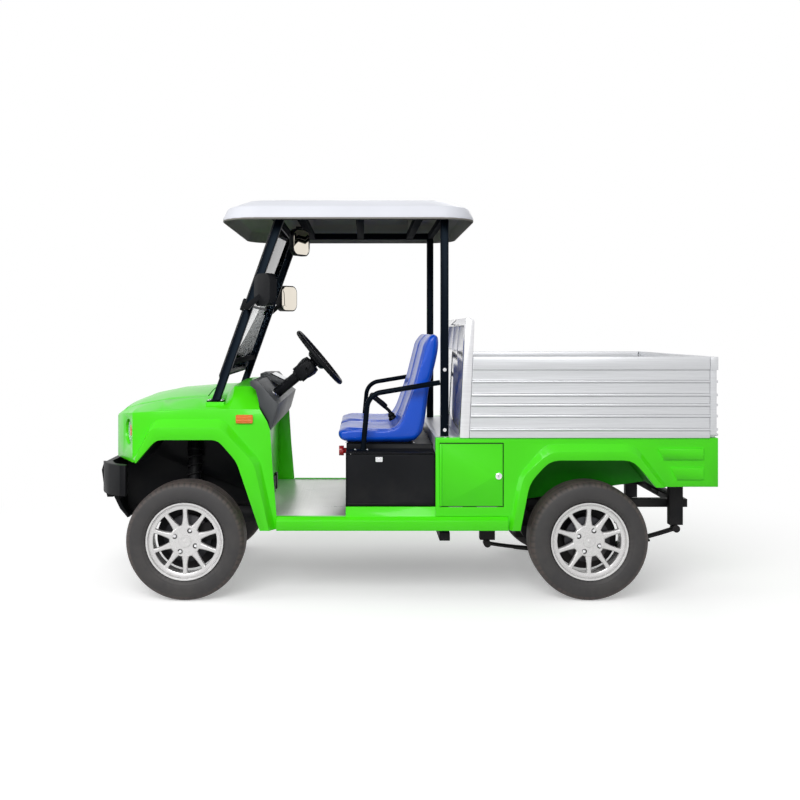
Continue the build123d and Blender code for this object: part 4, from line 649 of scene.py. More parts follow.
# %% Rods, plates and bolts
def rod(bm, points, radius, sides=10, finish=0):
    """A round rod along points, with flat ends."""
    points = [Vector(p) for p in points]
    rings = []
    side = None
    for i, p in enumerate(points):
        run = (points[min(i + 1, len(points) - 1)] - points[max(i - 1, 0)]).normalized()
        if side is None:
            side = run.orthogonal().normalized()
        side = (side - run * side.dot(run)).normalized()
        other = run.cross(side)
        turns = [tau * k / sides for k in range(sides)]
        rings.append([p + (side * cos(t) + other * sin(t)) * radius for t in turns])
    skin(bm, rings, ends=True, finish=finish)


def plate(bm, outline, at, low, high, round_off=0.0, finish=0):
    """A plate with that outline in the frame at, from height low to high, its top edge eased."""
    points = [Vector((x, y, 0)) for x, y in outline]
    middle = sum(points, Vector()) / len(points)

    def ring(height, inset):
        return [at @ (p + (middle - p).normalized() * inset + Vector((0, 0, height))) for p in points]

    rings = [ring(low, 0.0), ring(high - round_off, 0.0)]
    if round_off:
        rings.append(ring(high, round_off))
    skin(bm, rings, ends=True, finish=finish)


def rounded_box(width, height, corner, steps=4):
    """Outline of a rectangle with round corners, about its middle."""
    points = []
    for turn, (sx, sy) in enumerate(((1, 1), (-1, 1), (-1, -1), (1, -1))):
        centre = (sx * (width / 2 - corner), sy * (height / 2 - corner))
        for k in range(steps + 1):
            angle = pi / 2 * (turn + k / steps)
            points.append((centre[0] + corner * cos(angle), centre[1] + corner * sin(angle)))
    return points


def hexagon(radius):
    """Outline of a nut or a bolt head."""
    return [(radius * cos(tau * k / 6), radius * sin(tau * k / 6)) for k in range(6)]


def bolt(bm, at, radius, finish=0):
    """A hexagon head on its washer, standing on the plane of the frame at."""
    washer_r, washer_t = 1.7 * radius, 0.25 * radius
    turned(bm, [(0.0, 0.0), (washer_r, 0.0), (washer_r, washer_t), (0.0, washer_t)], at, 16, finish=finish)
    plate(bm, hexagon(radius), at, 0.2 * radius, 0.95 * radius, 0.15 * radius, finish=finish)


# %% From mesh to piece
def link_mesh(name, bm):
    """Puts a built mesh into the scene as an object, with its faces looking outwards."""
    bmesh.ops.recalc_face_normals(bm, faces=bm.faces)
    mesh = bpy.data.meshes.new(name)
    bm.to_mesh(mesh)
    bm.free()
    made = bpy.data.objects.new(name, mesh)
    bpy.context.collection.objects.link(made)
    return made


def piece(name, bm, body, slot, *materials, sharp=35, replaces=()):
    """Turns a built mesh into a smooth-shaded object with its finishes, riding on a CAD body."""
    bmesh.ops.remove_doubles(bm, verts=bm.verts, dist=0.001 * MM)
    made = link_mesh(name, bm)
    for key in materials:
        made.data.materials.append(finishes[key])
    for face in made.data.polygons:
        face.use_smooth = True
    made.data.set_sharp_from_angle(angle=radians(sharp))
    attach(made, body)
    if replaces:
        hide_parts(*replaces)


print("mesh helpers ready")

# %% [markdown]
# ## Tyres
# Each tyre is a low, wide road tyre: a flat tread with four grooves round it and short cross cuts on its
# shoulders, over a bulging sidewall with a raised ring near the rim. The cross cuts repeat sixty times,
# which could be an array of small blocks. Here the whole tyre is one turned skin, and the points of every
# fourth segment sink where a cut is, so the rubber stays one closed piece, as it comes from the mould.

# %% Tyre section
# Wall columns are share of the half width and mm beyond the bead
tyre_wall = [(0.760, 1), (0.850, 5), (0.905, 14), (0.950, 20), (0.968, 20.5), (0.972, 24), (0.985, 27),
             (1.000, 38), (0.998, 50), (0.982, 62), (0.955, 73)]
# Shoulder columns are share of the half width and mm below the tread
tyre_shoulder = [(0.915, 16), (0.860, 9.5), (0.790, 5.2), (0.705, 2.6)]
# Groove columns are share of the half width from its middle, mm of depth, and road grey
tyre_groove = [(0.045, 0.0, 1.0), (0.032, 6.0, 0.1), (-0.032, 6.0, 0.1), (-0.045, 0.0, 1.0)]
# Columns are share of the half width at a groove's middle, and mm that the crown lies below the tread
groove_middles = [(0.60, 0.6), (0.22, 0.1)]
SHOULDER_GREY = 0.9


def tyre_half_section(radius, half, bead):
    """(height from the middle plane, radius, road grey) from the bead to the middle of the tread."""
    points = [(half * share, bead + out * MM, 0.0) for share, out in tyre_wall]
    points += [(half * share, radius - drop * MM, SHOULDER_GREY) for share, drop in tyre_shoulder]
    for middle, crown in groove_middles:
        for share, drop, grey in tyre_groove:
            points.append((half * (middle + share), radius - crown * MM - drop * MM, grey))
    points.append((0.0, radius, 1.0))
    return points


groove_points = len(groove_middles) * len(tyre_groove)
print("tyre section:", 2 * (len(tyre_wall) + len(tyre_shoulder) + groove_points) + 1, "points")

# %% Tyre meshes
CORNERS = ("front_left", "front_right", "rear_left", "rear_right")
TYRE_SEGMENTS = 240
CUT_EVERY = 4
CUT_DEPTH = 2.2 * MM
CUT_FROM, CUT_TO = 0.69, 0.93
CUT_GREY = 0.15


def wheel_axes(corner):
    """Frame at the middle of a wheel, its Z pointing away from the truck."""
    low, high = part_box("tyre_" + corner)
    return axes_at((low + high) / 2, (0, 1 if "left" in corner else -1, 0))


for corner in CORNERS:
    low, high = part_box("tyre_" + corner)
    half = (high.y - low.y) / 2
    bead = (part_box("rim_" + corner)[1].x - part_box("rim_" + corner)[0].x) / 2
    half_section = tyre_half_section((high.x - low.x) / 2, half, bead)
    section = half_section + [(-h, r, g) for h, r, g in reversed(half_section[:-1])]
    at = wheel_axes(corner)
    bm = bmesh.new()
    tread = bm.verts.layers.float.new("tread")
    rings = []
    for height, radius, grey in section:
        across_cut = CUT_FROM < abs(height) / half < CUT_TO
        ring = []
        for i in range(TYRE_SEGMENTS):
            cut = across_cut and i % CUT_EVERY == 0
            reach = radius - CUT_DEPTH if cut else radius
            angle = tau * i / TYRE_SEGMENTS
            vert = bm.verts.new(at @ Vector((reach * cos(angle), reach * sin(angle), height)))
            vert[tread] = CUT_GREY if cut else grey
            ring.append(vert)
        rings.append(ring)
    for lower, upper in zip(rings, rings[1:] + rings[:1]):
        for i in range(TYRE_SEGMENTS):
            j = (i + 1) % TYRE_SEGMENTS
            bm.faces.new((lower[i], lower[j], upper[j], upper[i]))
    piece("road_tyre_" + corner, bm, "wheel_" + corner, "tyre_rubber", "tyre_rubber",
          replaces=["tyre_" + corner])
print("tyres:", TYRE_SEGMENTS // CUT_EVERY, "cross cuts on each shoulder")

# %% [markdown]
# ## Cast rims
# The rims are ten-spoke castings: a barrel with a rolled lip, slim spokes that widen into a flat hub,
# four wheel nuts in round pockets, a centre cap and a valve. The barrel, cap and nuts are turned. A spoke
# is a bar whose width and height change along its length, which is skinned from a short table of
# stations. The hub face with its round pockets is a flat fill between circles, so that the pockets are
# real holes.

# %% Rim sections
# Section columns are radius and height from the wheel's middle plane
barrel_section = [
    (183, 73), (183, 66), (178, 60), (170, 20), (172, -50), (183, -62), (183, -73), (174, -73), (166, -60),
    (160, 0), (156.5, 32), (151, 46), (150.5, 56), (152, 59.5), (155, 61), (166, 63.5), (167.5, 61.5),
    (170, 61.5), (172, 67), (175.5, 71.5), (179.5, 73),
]
cap_section = [(30.5, 54), (30.5, 58), (29, 60), (24, 61), (19.5, 61.2), (18.5, 60), (8, 60), (6, 61.4),
               (0, 61.8)]
nut_section = [(9.4, 45), (9.4, 49), (8.6, 50), (8.0, 50)]
valve_section = [(5, -8), (4.6, 8), (3.4, 10), (3.4, 20), (0, 21)]
HUB_R, HUB_TOP, HUB_BACK, CAP_R = 71, 57.0, 34, 29
hub_section = [(HUB_R, HUB_TOP), (HUB_R + 4, HUB_TOP - 3), (HUB_R + 5, HUB_BACK), (30, HUB_BACK)]
# Spoke columns are distance from the axle, half width, half width of the raised face, height of face and back
spoke_stations = [
    (58, 19.0, 13.0, 55.5, 34), (76, 16.5, 11.0, 56.0, 32), (90, 13.5, 8.5, 57.0, 32),
    (112, 11.0, 6.8, 58.5, 34), (136, 10.0, 6.2, 60.0, 38), (148, 11.0, 7.0, 61.2, 40),
    (154, 13.5, 9.0, 61.8, 42),
]
print("rim:", len(barrel_section), "barrel points,", len(spoke_stations), "spoke stations")

# %% Rim parts
SPOKES, SPOKE_DROP, SPOKE_EASE, FACE_EASE = 10, 6, 0.8, 0.6
NUT_CIRCLE, NUTS, NUT_TURN, NUT_R, NUT_LOW, NUT_TOP = 54, 4, 0.35, 8.4, 49.5, 56.5
POCKET_R, POCKET_FLOOR, POCKET_SEGMENTS = 12.5, 45.0, 20
HUB_SEGMENTS, CAP_SEGMENTS = 60, 36


def spoke(bm, at, angle):
    """One spoke along the direction of that angle: a bar with a narrow raised face."""
    turn = at @ Matrix.Rotation(angle, 4, "Z")
    rings = []
    for reach, wide, face, top, back in spoke_stations:
        half = [(wide, back), (wide, top - SPOKE_DROP), (face + SPOKE_EASE, top - SPOKE_EASE),
                (face - FACE_EASE, top)]
        section = [(-y, z) for y, z in half] + half[::-1]
        rings.append([turn @ Vector((reach * MM, y * MM, z * MM)) for y, z in section])
    skin(bm, rings, ends=True)


def hub_face(bm, at, pockets):
    """The flat hub with a hole for the cap and one for each nut's pocket."""
    loops = [(at, HUB_R, HUB_SEGMENTS), (at, CAP_R, CAP_SEGMENTS)]
    loops += [(pocket, POCKET_R, POCKET_SEGMENTS) for pocket in pockets]
    edges = []
    for local, radius, count in loops:
        ring = [bm.verts.new(p) for p in ellipse(local, radius * MM, radius * MM, count, HUB_TOP * MM)]
        edges += [bm.edges.new((ring[i], ring[(i + 1) % count])) for i in range(count)]
    bmesh.ops.triangle_fill(bm, use_beauty=True, edges=edges)


def nut(bm, pocket):
    """A round pocket with its nut."""
    well = [(POCKET_R, HUB_TOP), (POCKET_R - 1, POCKET_FLOOR), (0.5, POCKET_FLOOR)]
    turned(bm, metres(well), pocket, POCKET_SEGMENTS, finish=1)
    turned(bm, metres(nut_section), pocket, 24, finish=2)
    plate(bm, hexagon(NUT_R * MM), pocket, NUT_LOW * MM, NUT_TOP * MM, 1.6 * MM, finish=2)


print("rims:", SPOKES, "spokes and", NUTS, "nuts each")

# %% Rim meshes
RIM_SEGMENTS = 96
VALVE_TURN, VALVE_AT = radians(214), (154 * MM, 0, 40 * MM)
for corner in CORNERS:
    at = wheel_axes(corner)
    bm = bmesh.new()
    turned(bm, metres(barrel_section), at, RIM_SEGMENTS, closed=True)
    for k in range(SPOKES):
        spoke(bm, at, tau * k / SPOKES + pi / 2)
    turned(bm, metres(hub_section), at, HUB_SEGMENTS)
    nut_turns = [tau * (k + 0.5) / NUTS + NUT_TURN for k in range(NUTS)]
    nut_spots = [(NUT_CIRCLE * MM * cos(t), NUT_CIRCLE * MM * sin(t), 0) for t in nut_turns]
    pockets = [at @ Matrix.Translation(spot) for spot in nut_spots]
    hub_face(bm, at, pockets)
    for pocket in pockets:
        nut(bm, pocket)
    turned(bm, metres(cap_section), at, CAP_SEGMENTS)
    valve = at @ Matrix.Rotation(VALVE_TURN, 4, "Z") @ Matrix.Translation(VALVE_AT)
    turned(bm, metres(valve_section), valve, 12, finish=1)
    piece("cast_rim_" + corner, bm, "wheel_" + corner, "rim_alloy", "rim_alloy", "seal_rubber",
          "bright_steel", sharp=30, replaces=["rim_" + corner])
print("rims:", len(CORNERS))

# %% [markdown]
# ## Brake back plates
# Behind each disc or drum a pressed steel plate keeps the road's dirt off the brake, and it is the dark
# ground against which the bright spokes stand out. It doesn't turn: the front ones steer with their
# knuckles and the rear ones sit on the axle. A plate is turned from a short section with a stiffening
# bead near its edge.

# %% Back plates
back_section = [(20, -44), (96, -44), (108, -47), (120, -47), (132, -44), (150, -44), (152, -42.5),
                (150, -41), (20, -41)]
for hand in ("left", "right"):
    for end, body in (("front", "knuckle_" + hand), ("rear", "chassis")):
        bm = bmesh.new()
        turned(bm, metres(back_section), wheel_axes(f"{end}_{hand}"), 64, closed=True)
        piece(f"back_plate_{end}_{hand}", bm, body, "chassis_steel", "chassis_steel")
print("back plates: 4")

# %% [markdown]
# ## Seats
# The two bucket seats are foam under blue vinyl: a thick rounded shell, raised at both sides, with a seam
# where the side panels meet the middle. They could be modelled by hand with subdivision, but foam under a
# cover swells, and cloth with some pressure inside gives that roundness by itself. So one seat is skinned
# from a side section that is a little too small, remeshed into even cells and blown up as cloth for
# twenty frames, with a limit on how far a point may go. The seams are pressed in afterwards, the cells
# are smoothed, and the other seat is a copy.

# %% Seat blank
SEAT_WIDTH = 0.430
# Side section, columns are x and z, from the cushion's front underside round to its rear
seat_section = [
    (296, 734), (320, 750), (328, 772), (325, 790), (308, 803), (180, 795), (80, 791), (44, 797), (20, 822),
    (0, 866), (-14, 910), (-34, 965), (-52, 1018), (-76, 1118), (-100, 1222), (-118, 1256), (-144, 1268),
    (-167, 1254), (-166, 1204), (-154, 1138), (-134, 1058), (-119, 1008), (-106, 898), (-94, 808), (-74, 746),
    (-40, 732), (120, 732),
]
SEATING = range(4, 16)
# Columns are share of the half width, how far the section draws in, how far the seating face sinks
seat_stations = [
    (-1.00, 22, 4), (-0.97, 10, 2), (-0.90, 3, 0), (-0.78, 0, 0), (-0.62, 0, 6), (-0.40, 0, 12),
    (0.00, 0, 14), (0.40, 0, 12), (0.62, 0, 6), (0.78, 0, 0), (0.90, 3, 0), (0.97, 10, 2), (1.00, 22, 4),
]


def seat_ring(middle_y, share, draw_in, sink):
    """The side section at one place across the seat."""
    ring = []
    for i, (x, z) in enumerate(seat_section):
        before, after = seat_section[i - 1], seat_section[(i + 1) % len(seat_section)]
        run = Vector((after[0] - before[0], 0, after[1] - before[1])).normalized()
        inward = Vector((-run.z, 0, run.x))
        point = Vector((x, 0, z)) + inward * (draw_in + (sink if i in SEATING else 0))
        ring.append(Vector((point.x * MM, middle_y + share * SEAT_WIDTH / 2, point.z * MM)))
    return ring


seat_low, seat_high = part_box("seats")
seat_y = seat_high.y - SEAT_WIDTH / 2
bm = bmesh.new()
skin(bm, [seat_ring(seat_y, *row) for row in seat_stations], ends=True)
seat_left = link_mesh("bucket_seat_left", bm)
print("seat blank:", len(seat_left.data.vertices), "points, middle at y", round(seat_y, 3))

# %% Blow the seat up as cloth
CELL = 7 * MM
SWELL = 6 * MM
FRAMES = 20
PRESSURE = 4.0


def apply_modifiers(obj):
    """Replaces an object's mesh by what its modifiers make of it at this frame."""
    view = bpy.context.evaluated_depsgraph_get()
    done = bpy.data.meshes.new_from_object(obj.evaluated_get(view))
    obj.modifiers.clear()
    obj.data = done


smooth_blank = seat_left.modifiers.new("round", "SUBSURF")
smooth_blank.levels = 2
remesh = seat_left.modifiers.new("cells", "REMESH")
remesh.mode, remesh.voxel_size = "VOXEL", CELL
apply_modifiers(seat_left)
start = [v.co.copy() for v in seat_left.data.vertices]
cover = seat_left.modifiers.new("cover", "CLOTH")
cover.settings.use_pressure = True
cover.settings.uniform_pressure_force = PRESSURE
cover.settings.effector_weights.gravity = 0.0
cover.settings.quality = 4
cover.point_cache.frame_start, cover.point_cache.frame_end = 1, FRAMES
for step in range(1, FRAMES + 1):
    bpy.context.scene.frame_set(step)
apply_modifiers(seat_left)
bpy.context.scene.frame_set(1)
for vert, was in zip(seat_left.data.vertices, start):
    moved = vert.co - was
    if moved.length > SWELL:
        vert.co = was + moved.normalized() * SWELL
print("seat cover:", len(seat_left.data.vertices), "points")

# %% Seams and second seat
SEAM_SHARE, SEAM_DEPTH, SEAM_WIDTH = 0.70, 4.5 * MM, 6 * MM
SEAT_CLEAR = 5 * MM
for vert in seat_left.data.vertices:
    off_seam = abs(abs(vert.co.y - seat_y) - SEAM_SHARE * SEAT_WIDTH / 2)
    vert.co -= vert.normal * SEAM_DEPTH * exp(-(off_seam / SEAM_WIDTH) ** 2)
    vert.co.z = max(vert.co.z, seat_low.z + SEAT_CLEAR)
even = seat_left.modifiers.new("even", "SMOOTH")
even.factor, even.iterations = 0.5, 8
fine = seat_left.modifiers.new("fine", "SUBSURF")
fine.levels = fine.render_levels = 1
apply_modifiers(seat_left)
seat_left.data.materials.append(finishes["seat_blue"])
for face in seat_left.data.polygons:
    face.use_smooth = True
right_mesh = seat_left.data.copy()
right_mesh.transform(Matrix.Translation((0, -2 * seat_y, 0)))
seat_right = bpy.data.objects.new("bucket_seat_right", right_mesh)
bpy.context.collection.objects.link(seat_right)
for seat in (seat_left, seat_right):
    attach(seat, "chassis")
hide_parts("seats")
print("seats:", 2 * len(seat_left.data.polygons), "faces")

# %% [markdown]
# ## Seat runners
# Each seat is bolted to the deck on two folded steel runners. They are short plates with a bolt at each
# end.

# %% Seat runners
RUNNER_LONG, RUNNER_WIDE, RUNNER_HIGH = 0.310, 0.030, 0.0075
RUNNER_X, RUNNER_OFF, RUNNER_BOLT_X = 0.115, 0.140, 0.165
bm = bmesh.new()
for side in (1, -1):
    for offset in (-RUNNER_OFF, RUNNER_OFF):
        foot = axes_at((RUNNER_X, side * seat_y + offset, seat_low.z), (0, 0, 1))
        plate(bm, rounded_box(RUNNER_LONG, RUNNER_WIDE, 6 * MM), foot, 0.0, RUNNER_HIGH, 1.5 * MM)
        for end in (-1, 1):
            bolt(bm, foot @ Matrix.Translation((end * RUNNER_BOLT_X, 0, 0)), 5 * MM, finish=1)
piece("seat_runners", bm, "chassis", "chassis_steel", "chassis_steel", "bright_steel")
print("seat runners: 4")

# %% [markdown]
# ## Steering wheel
# A padded black rim with finger waves, three flat spokes and a round pad in the middle. A torus would do
# for the rim, but hands feel the waves, so the rim is swept with a thickness that changes round the
# wheel. Everything is built round the axis of the steering joint, and turns with it.

# %% Steering wheel
STEER_R, GRIP_R, WAVES, WAVE_DEPTH = 0.160, 0.0125, 40, 0.05
STEPS, ROUND = 200, 14
SPOKE_TURNS = (90, 210, 330)
# Spoke columns are distance from the middle, half width, height of its face above the wheel's plane
steer_spoke = [(30, 17, -8), (60, 14, -10), (100, 12, -9), (135, 12.5, -4), (156, 14, 0)]
SPOKE_THICK, SPOKE_CROWN, SPOKE_BEVEL = 6, 2.5, 3
pad_section = [(0, 3), (24, 2.6), (42, 0), (52, -6), (56, -14), (54, -26), (44, -35), (14, -36), (12, -40)]
button_section = [(0, 4.2), (11, 4.0), (13, 3.2), (13.5, 2.0)]

steering = next(j for j in frame["joints"] if j["name"] == "steering")
shaft = Vector(steering["axis"]).normalized()
wheel_middle = Vector(steering["pos_m"])
at = axes_at(wheel_middle, shaft, (0, 1, 0))
bm = bmesh.new()
rings = []
for i in range(STEPS):
    angle = tau * i / STEPS
    thick = GRIP_R * (1 - WAVE_DEPTH * (0.5 + 0.5 * cos(WAVES * angle)))
    ring = []
    for k in range(ROUND):
        reach = STEER_R + thick * cos(tau * k / ROUND)
        ring.append(at @ Vector((reach * cos(angle), reach * sin(angle), thick * sin(tau * k / ROUND))))
    rings.append(ring)
skin(bm, rings + rings[:1])
for turn in SPOKE_TURNS:
    local = at @ Matrix.Rotation(radians(turn), 4, "Z")
    rings = []
    for reach, wide, high in steer_spoke:
        half = [(wide, high - SPOKE_THICK), (wide, high), (wide - SPOKE_BEVEL, high + SPOKE_CROWN)]
        section = [(-y, z) for y, z in half] + half[::-1]
        rings.append([local @ Vector((reach * MM, y * MM, z * MM)) for y, z in section])
    skin(bm, rings, ends=True)
turned(bm, metres(pad_section), at, 40)
turned(bm, metres(button_section), at, 30, finish=1)
piece("hand_wheel", bm, "steering_wheel", "moulded_black", "moulded_black", "dash_grey",
      replaces=["steering_wheel"])
print("steering wheel:", WAVES, "finger waves, radius", STEER_R)

# %% [markdown]
# ## Column cowl
# Two plastic shells meet round the top of the steering column and hide the switches and the lock. They
# are widest just under the wheel and taper towards the dashboard, so the cowl is skinned through a few
# oval stations along the shaft. It stays still when the wheel turns.

# %% Column cowl
# Columns are distance down the shaft, half width across the truck, half depth
cowl_stations = [(44, 44, 34), (46, 54, 44), (70, 57, 50), (100, 54, 46), (128, 46, 38), (150, 38, 31),
                 (152, 30, 24)]
bm = bmesh.new()
rings = []
for down, wide, deep in metres(cowl_stations):
    section = axes_at(wheel_middle - shaft * down, shaft, (0, 1, 0))
    rings.append(ellipse(section, wide, deep, 28))
skin(bm, rings, ends=True)
piece("column_cowl", bm, "chassis", "moulded_black", "moulded_black")
print("column cowl:", cowl_stations[-1][0] - cowl_stations[0][0], "mm long")

# %% [markdown]
# ## Parking lever
# The lever between the seats is a bent steel bar with a moulded grip pushed over it, and a rubber boot
# closes the slot at its foot. The bar is in the CAD model; grip and boot are sleeves round it, swept with
# a radius that changes from ring to ring, so that the boot gets its folds.

# %% Parking lever
# Columns are x, z and radius of the sleeve along the bar
boot_rings = [(30, 776, 27), (33, 786, 24), (36, 792, 26), (40, 802, 21), (43, 809, 23), (48, 820, 17),
              (51, 826, 19), (57, 838, 12)]
grip_rings = [(78, 868, 11), (82, 872, 14), (100, 888, 15), (124, 907, 14), (146, 925, 15), (158, 935, 14),
              (163, 939, 8)]


def sleeve(bm, rows):
    """A round sleeve along rows of x, z and radius in the middle plane of the truck."""
    rings = []
    for i, (x, z, radius) in enumerate(rows):
        before, after = rows[max(i - 1, 0)], rows[min(i + 1, len(rows) - 1)]
        at = axes_at((x, 0, z), (after[0] - before[0], 0, after[1] - before[1]), (0, 1, 0))
        rings.append(ellipse(at, radius, radius, 16))
    skin(bm, rings, ends=True)


bm = bmesh.new()
for rows in (boot_rings, grip_rings):
    sleeve(bm, metres(rows))
piece("parking_lever", bm, "chassis", "moulded_black", "moulded_black")
print("parking lever: grip and boot")

# %% [markdown]
# ## Headlamps
# A round lamp sits in each angled corner of the nose: a green bezel, a chromed bowl, a bulb with its
# shade, and nearly flat clear glass set back in the bezel. The amber turn lamp before its outer edge is a
# CAD panel. All parts are turned about the lamp's own axis, which is square to the corner panel, so one
# function makes both lamps from the same sections.

# %% Headlamps
CORNER_RUN = Vector((-130, 245, 0)).normalized()
lamp_low, lamp_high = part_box("headlamps")
LAMP_R = (lamp_high.z - lamp_low.z) / 2
# Columns are radius and height above the corner panel
bezel_section = [(66, -30), (66, -2), (65, 0), (61.5, 0), (60.5, -1.5), (60, -14), (58, -15)]
bowl_section = [(58, -15), (54, -22), (44, -34), (30, -45), (14, -52), (9, -54)]
lens_section = [(0, -13.8), (20, -13.9), (40, -14.1), (60, -14.4), (60, -16.5), (0, -16.5)]
bulb_section = [(8, -54), (8, -42), (10, -38), (10, -32), (7, -27), (0, -25)]


def headlamp(bm, side):
    """One lamp on the left (1) or right (-1) corner of the nose."""
    face_x = lamp_high.x + LAMP_R * CORNER_RUN.x
    face_y = lamp_high.y - LAMP_R * CORNER_RUN.y
    out = Vector((CORNER_RUN.y, -CORNER_RUN.x * side, 0))
    at = axes_at((face_x, side * face_y, (lamp_low.z + lamp_high.z) / 2), out, (0, 0, 1))
    for section, index in ((bezel_section, 0), (bowl_section, 1), (bulb_section, 1), (lens_section, 2)):
        turned(bm, metres(section), at, 56, finish=index)


bm = bmesh.new()
for side in (1, -1):
    headlamp(bm, side)
piece("headlamp_units", bm, "chassis", "lamp_clear", "body_green", "reflector_chrome", "lamp_clear",
      replaces=["headlamps"])
print("headlamps: radius", round(LAMP_R, 3))

# %% [markdown]
# ## Coil springs and spring clamps
# The front dampers carry coil springs, and the rear leaf springs are held to the axle by U-shaped bolts.
# Both are bent round bar. A coil could come from a screw modifier; a rod along points of a formula gives
# the same, and the U-bolts can use the same rod.

# %% Springs
COIL_R, WIRE_R, TURNS, COIL_STEPS = 0.034, 0.0055, 9, 24
DAMPER_X = 1.042
DAMPER_FOOT, DAMPER_HEAD = (0.3614, 0.300), (0.3000, 0.680)
CUP_R, CUP_T = 0.042, 0.006
bm = bmesh.new()
for side in (1, -1):
    foot = Vector((DAMPER_X, side * DAMPER_FOOT[0], DAMPER_FOOT[1]))
    head = Vector((DAMPER_X, side * DAMPER_HEAD[0], DAMPER_HEAD[1]))
    at = axes_at(foot, head - foot)
    length = (head - foot).length
    points = []
    for i in range(TURNS * COIL_STEPS + 1):
        angle = tau * i / COIL_STEPS
        rise = length * i / (TURNS * COIL_STEPS)
        points.append(at @ Vector((COIL_R * cos(angle), COIL_R * sin(angle), rise)))
    rod(bm, points, WIRE_R, 8)
    for height in (-CUP_T, length):
        above = height + CUP_T
        turned(bm, [(0.0, height), (CUP_R, height), (CUP_R, above), (0.0, above)], at, 28)
piece("coil_springs", bm, "chassis", "chassis_steel", "chassis_steel")
print("coils:", TURNS, "turns each")

# %% U-bolts
SPRING_Y, U_OFF, U_HALF, U_WIRE_R = 0.395, 0.034, 0.028, 5 * MM
AXLE_Z, TUBE_R = 0.280, 0.034
U_FOOT_Z, NUT_Z = 0.164, 0.172
axle_x = sum(corner.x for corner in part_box("tyre_rear_left")) / 2
bm = bmesh.new()
for side in (1, -1):
    for x in (axle_x - U_OFF, axle_x + U_OFF):
        for y in (side * SPRING_Y - U_HALF, side * SPRING_Y + U_HALF):
            rod(bm, [(x, y, U_FOOT_Z), (x, y, AXLE_Z + 10 * MM)], U_WIRE_R)
            bolt(bm, axes_at((x, y, NUT_Z), (0, 0, -1)), 7 * MM)
        turns = [pi * k / 8 for k in range(9)]
        arch = [(x, side * SPRING_Y + U_HALF * cos(t), AXLE_Z + 8 * MM + TUBE_R * sin(t)) for t in turns]
        rod(bm, arch, U_WIRE_R)
piece("spring_bolts", bm, "chassis", "chassis_steel", "chassis_steel")
print("U-bolts: 4")

# %% [markdown]
# ## Inner aprons and hatch seals
# A sheet of black plastic on each side of the front compartment keeps the wheels' spray out of it, and a
# rubber strip behind the edge of each hatch keeps it out of the locker. The aprons are flat plates on an
# outline, far enough inboard for the steered tyres; the strips are four straight runs of round rubber.

# %% Aprons and seals
APRON_Y, APRON_THICK = 0.235, 0.003
# Columns are x and z, from the lower rear corner
apron_outline = [(0.715, 0.44), (0.80, 0.41), (1.17, 0.41), (1.20, 0.36), (1.38, 0.36), (1.395, 0.40),
                 (1.395, 0.70), (1.30, 0.76), (0.715, 0.76)]
SEAL_R, SEAL_OFF = 6 * MM, 7.5 * MM
bm = bmesh.new()
for side, hand in ((1, "left"), (-1, "right")):
    sheet = [(x, side * z) for x, z in apron_outline]
    plate(bm, sheet, axes_at((0, side * APRON_Y, 0), (0, -side, 0)), 0.0, APRON_THICK)
    hatch_low, hatch_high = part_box("side_hatch_" + hand)
    y = hatch_low.y - SEAL_OFF if side > 0 else hatch_high.y + SEAL_OFF
    for z in (hatch_low.z, hatch_high.z):
        rod(bm, [(hatch_low.x, y, z), (hatch_high.x, y, z)], SEAL_R, 8, finish=1)
    for x in (hatch_low.x, hatch_high.x):
        rod(bm, [(x, y, hatch_low.z), (x, y, hatch_high.z)], SEAL_R, 8, finish=1)
piece("aprons_and_seals", bm, "chassis", "moulded_black", "moulded_black", "seal_rubber")
print("aprons at y", APRON_Y, "and hatch seals")

# %% [markdown]
# ## Windscreen fittings
# The windscreen is two panes in a rubber strip, clipped to the raked pillars: a joint runs across at half
# height, and a clamp on each pillar holds it there. The strip could be swept round the pane's edge with a
# flat section; round rubber looks the same from a step away, so it is four straight rods, with a thicker
# one for the joint.

# %% Pane frame
PILLAR_FOOT, PILLAR_HEAD = Vector((0.906, 0, 0.940)), Vector((0.598, 0, 1.808))
PANE_OFF = 0.0215
rake = (PILLAR_HEAD - PILLAR_FOOT).normalized()
pane_out = Vector((rake.z, 0, -rake.x))


def on_pane(y, z, proud=0.0):
    """Point on the middle of the pane at that height."""
    base = PILLAR_FOOT + rake * ((z - PILLAR_FOOT.z) / rake.z)
    return base + pane_out * (PANE_OFF + proud) + Vector((0, y, 0))


print(f"pillars lean back {-rake.x / rake.z:.2f} m in a metre")

# %% Windscreen seal and clamps
STRIP_R, JOINT_R, JOINT_Z = 4.5 * MM, 7 * MM, 1.390
CLAMP_Y, CLAMP_WIDE, CLAMP_TALL, CLAMP_TOP, CLAMP_BOLT = 0.500, 0.046, 0.060, 0.010, 0.016
pane_low, pane_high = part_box("windscreen")
half = pane_high.y - 4 * MM
bottom, top = pane_low.z + 6 * MM, pane_high.z - 6 * MM
bm = bmesh.new()
for y in (half, -half):
    rod(bm, [on_pane(y, bottom), on_pane(y, top)], STRIP_R, 8)
for z, radius in ((bottom, STRIP_R), (JOINT_Z, JOINT_R), (top, STRIP_R)):
    rod(bm, [on_pane(-half, z), on_pane(half, z)], radius, 8)
for side in (1, -1):
    clamp = axes_at(on_pane(side * CLAMP_Y, JOINT_Z, 6 * MM), pane_out, (0, 1, 0))
    plate(bm, rounded_box(CLAMP_WIDE, CLAMP_TALL, 8 * MM), clamp, -4 * MM, CLAMP_TOP, 3 * MM, finish=1)
    for up in (CLAMP_BOLT, -CLAMP_BOLT):
        bolt(bm, clamp @ Matrix.Translation((0, up, CLAMP_TOP)), 6 * MM, finish=2)
piece("windscreen_fittings", bm, "chassis", "moulded_black", "seal_rubber", "moulded_black", "bright_steel")
print("windscreen joint at", JOINT_Z, "m")

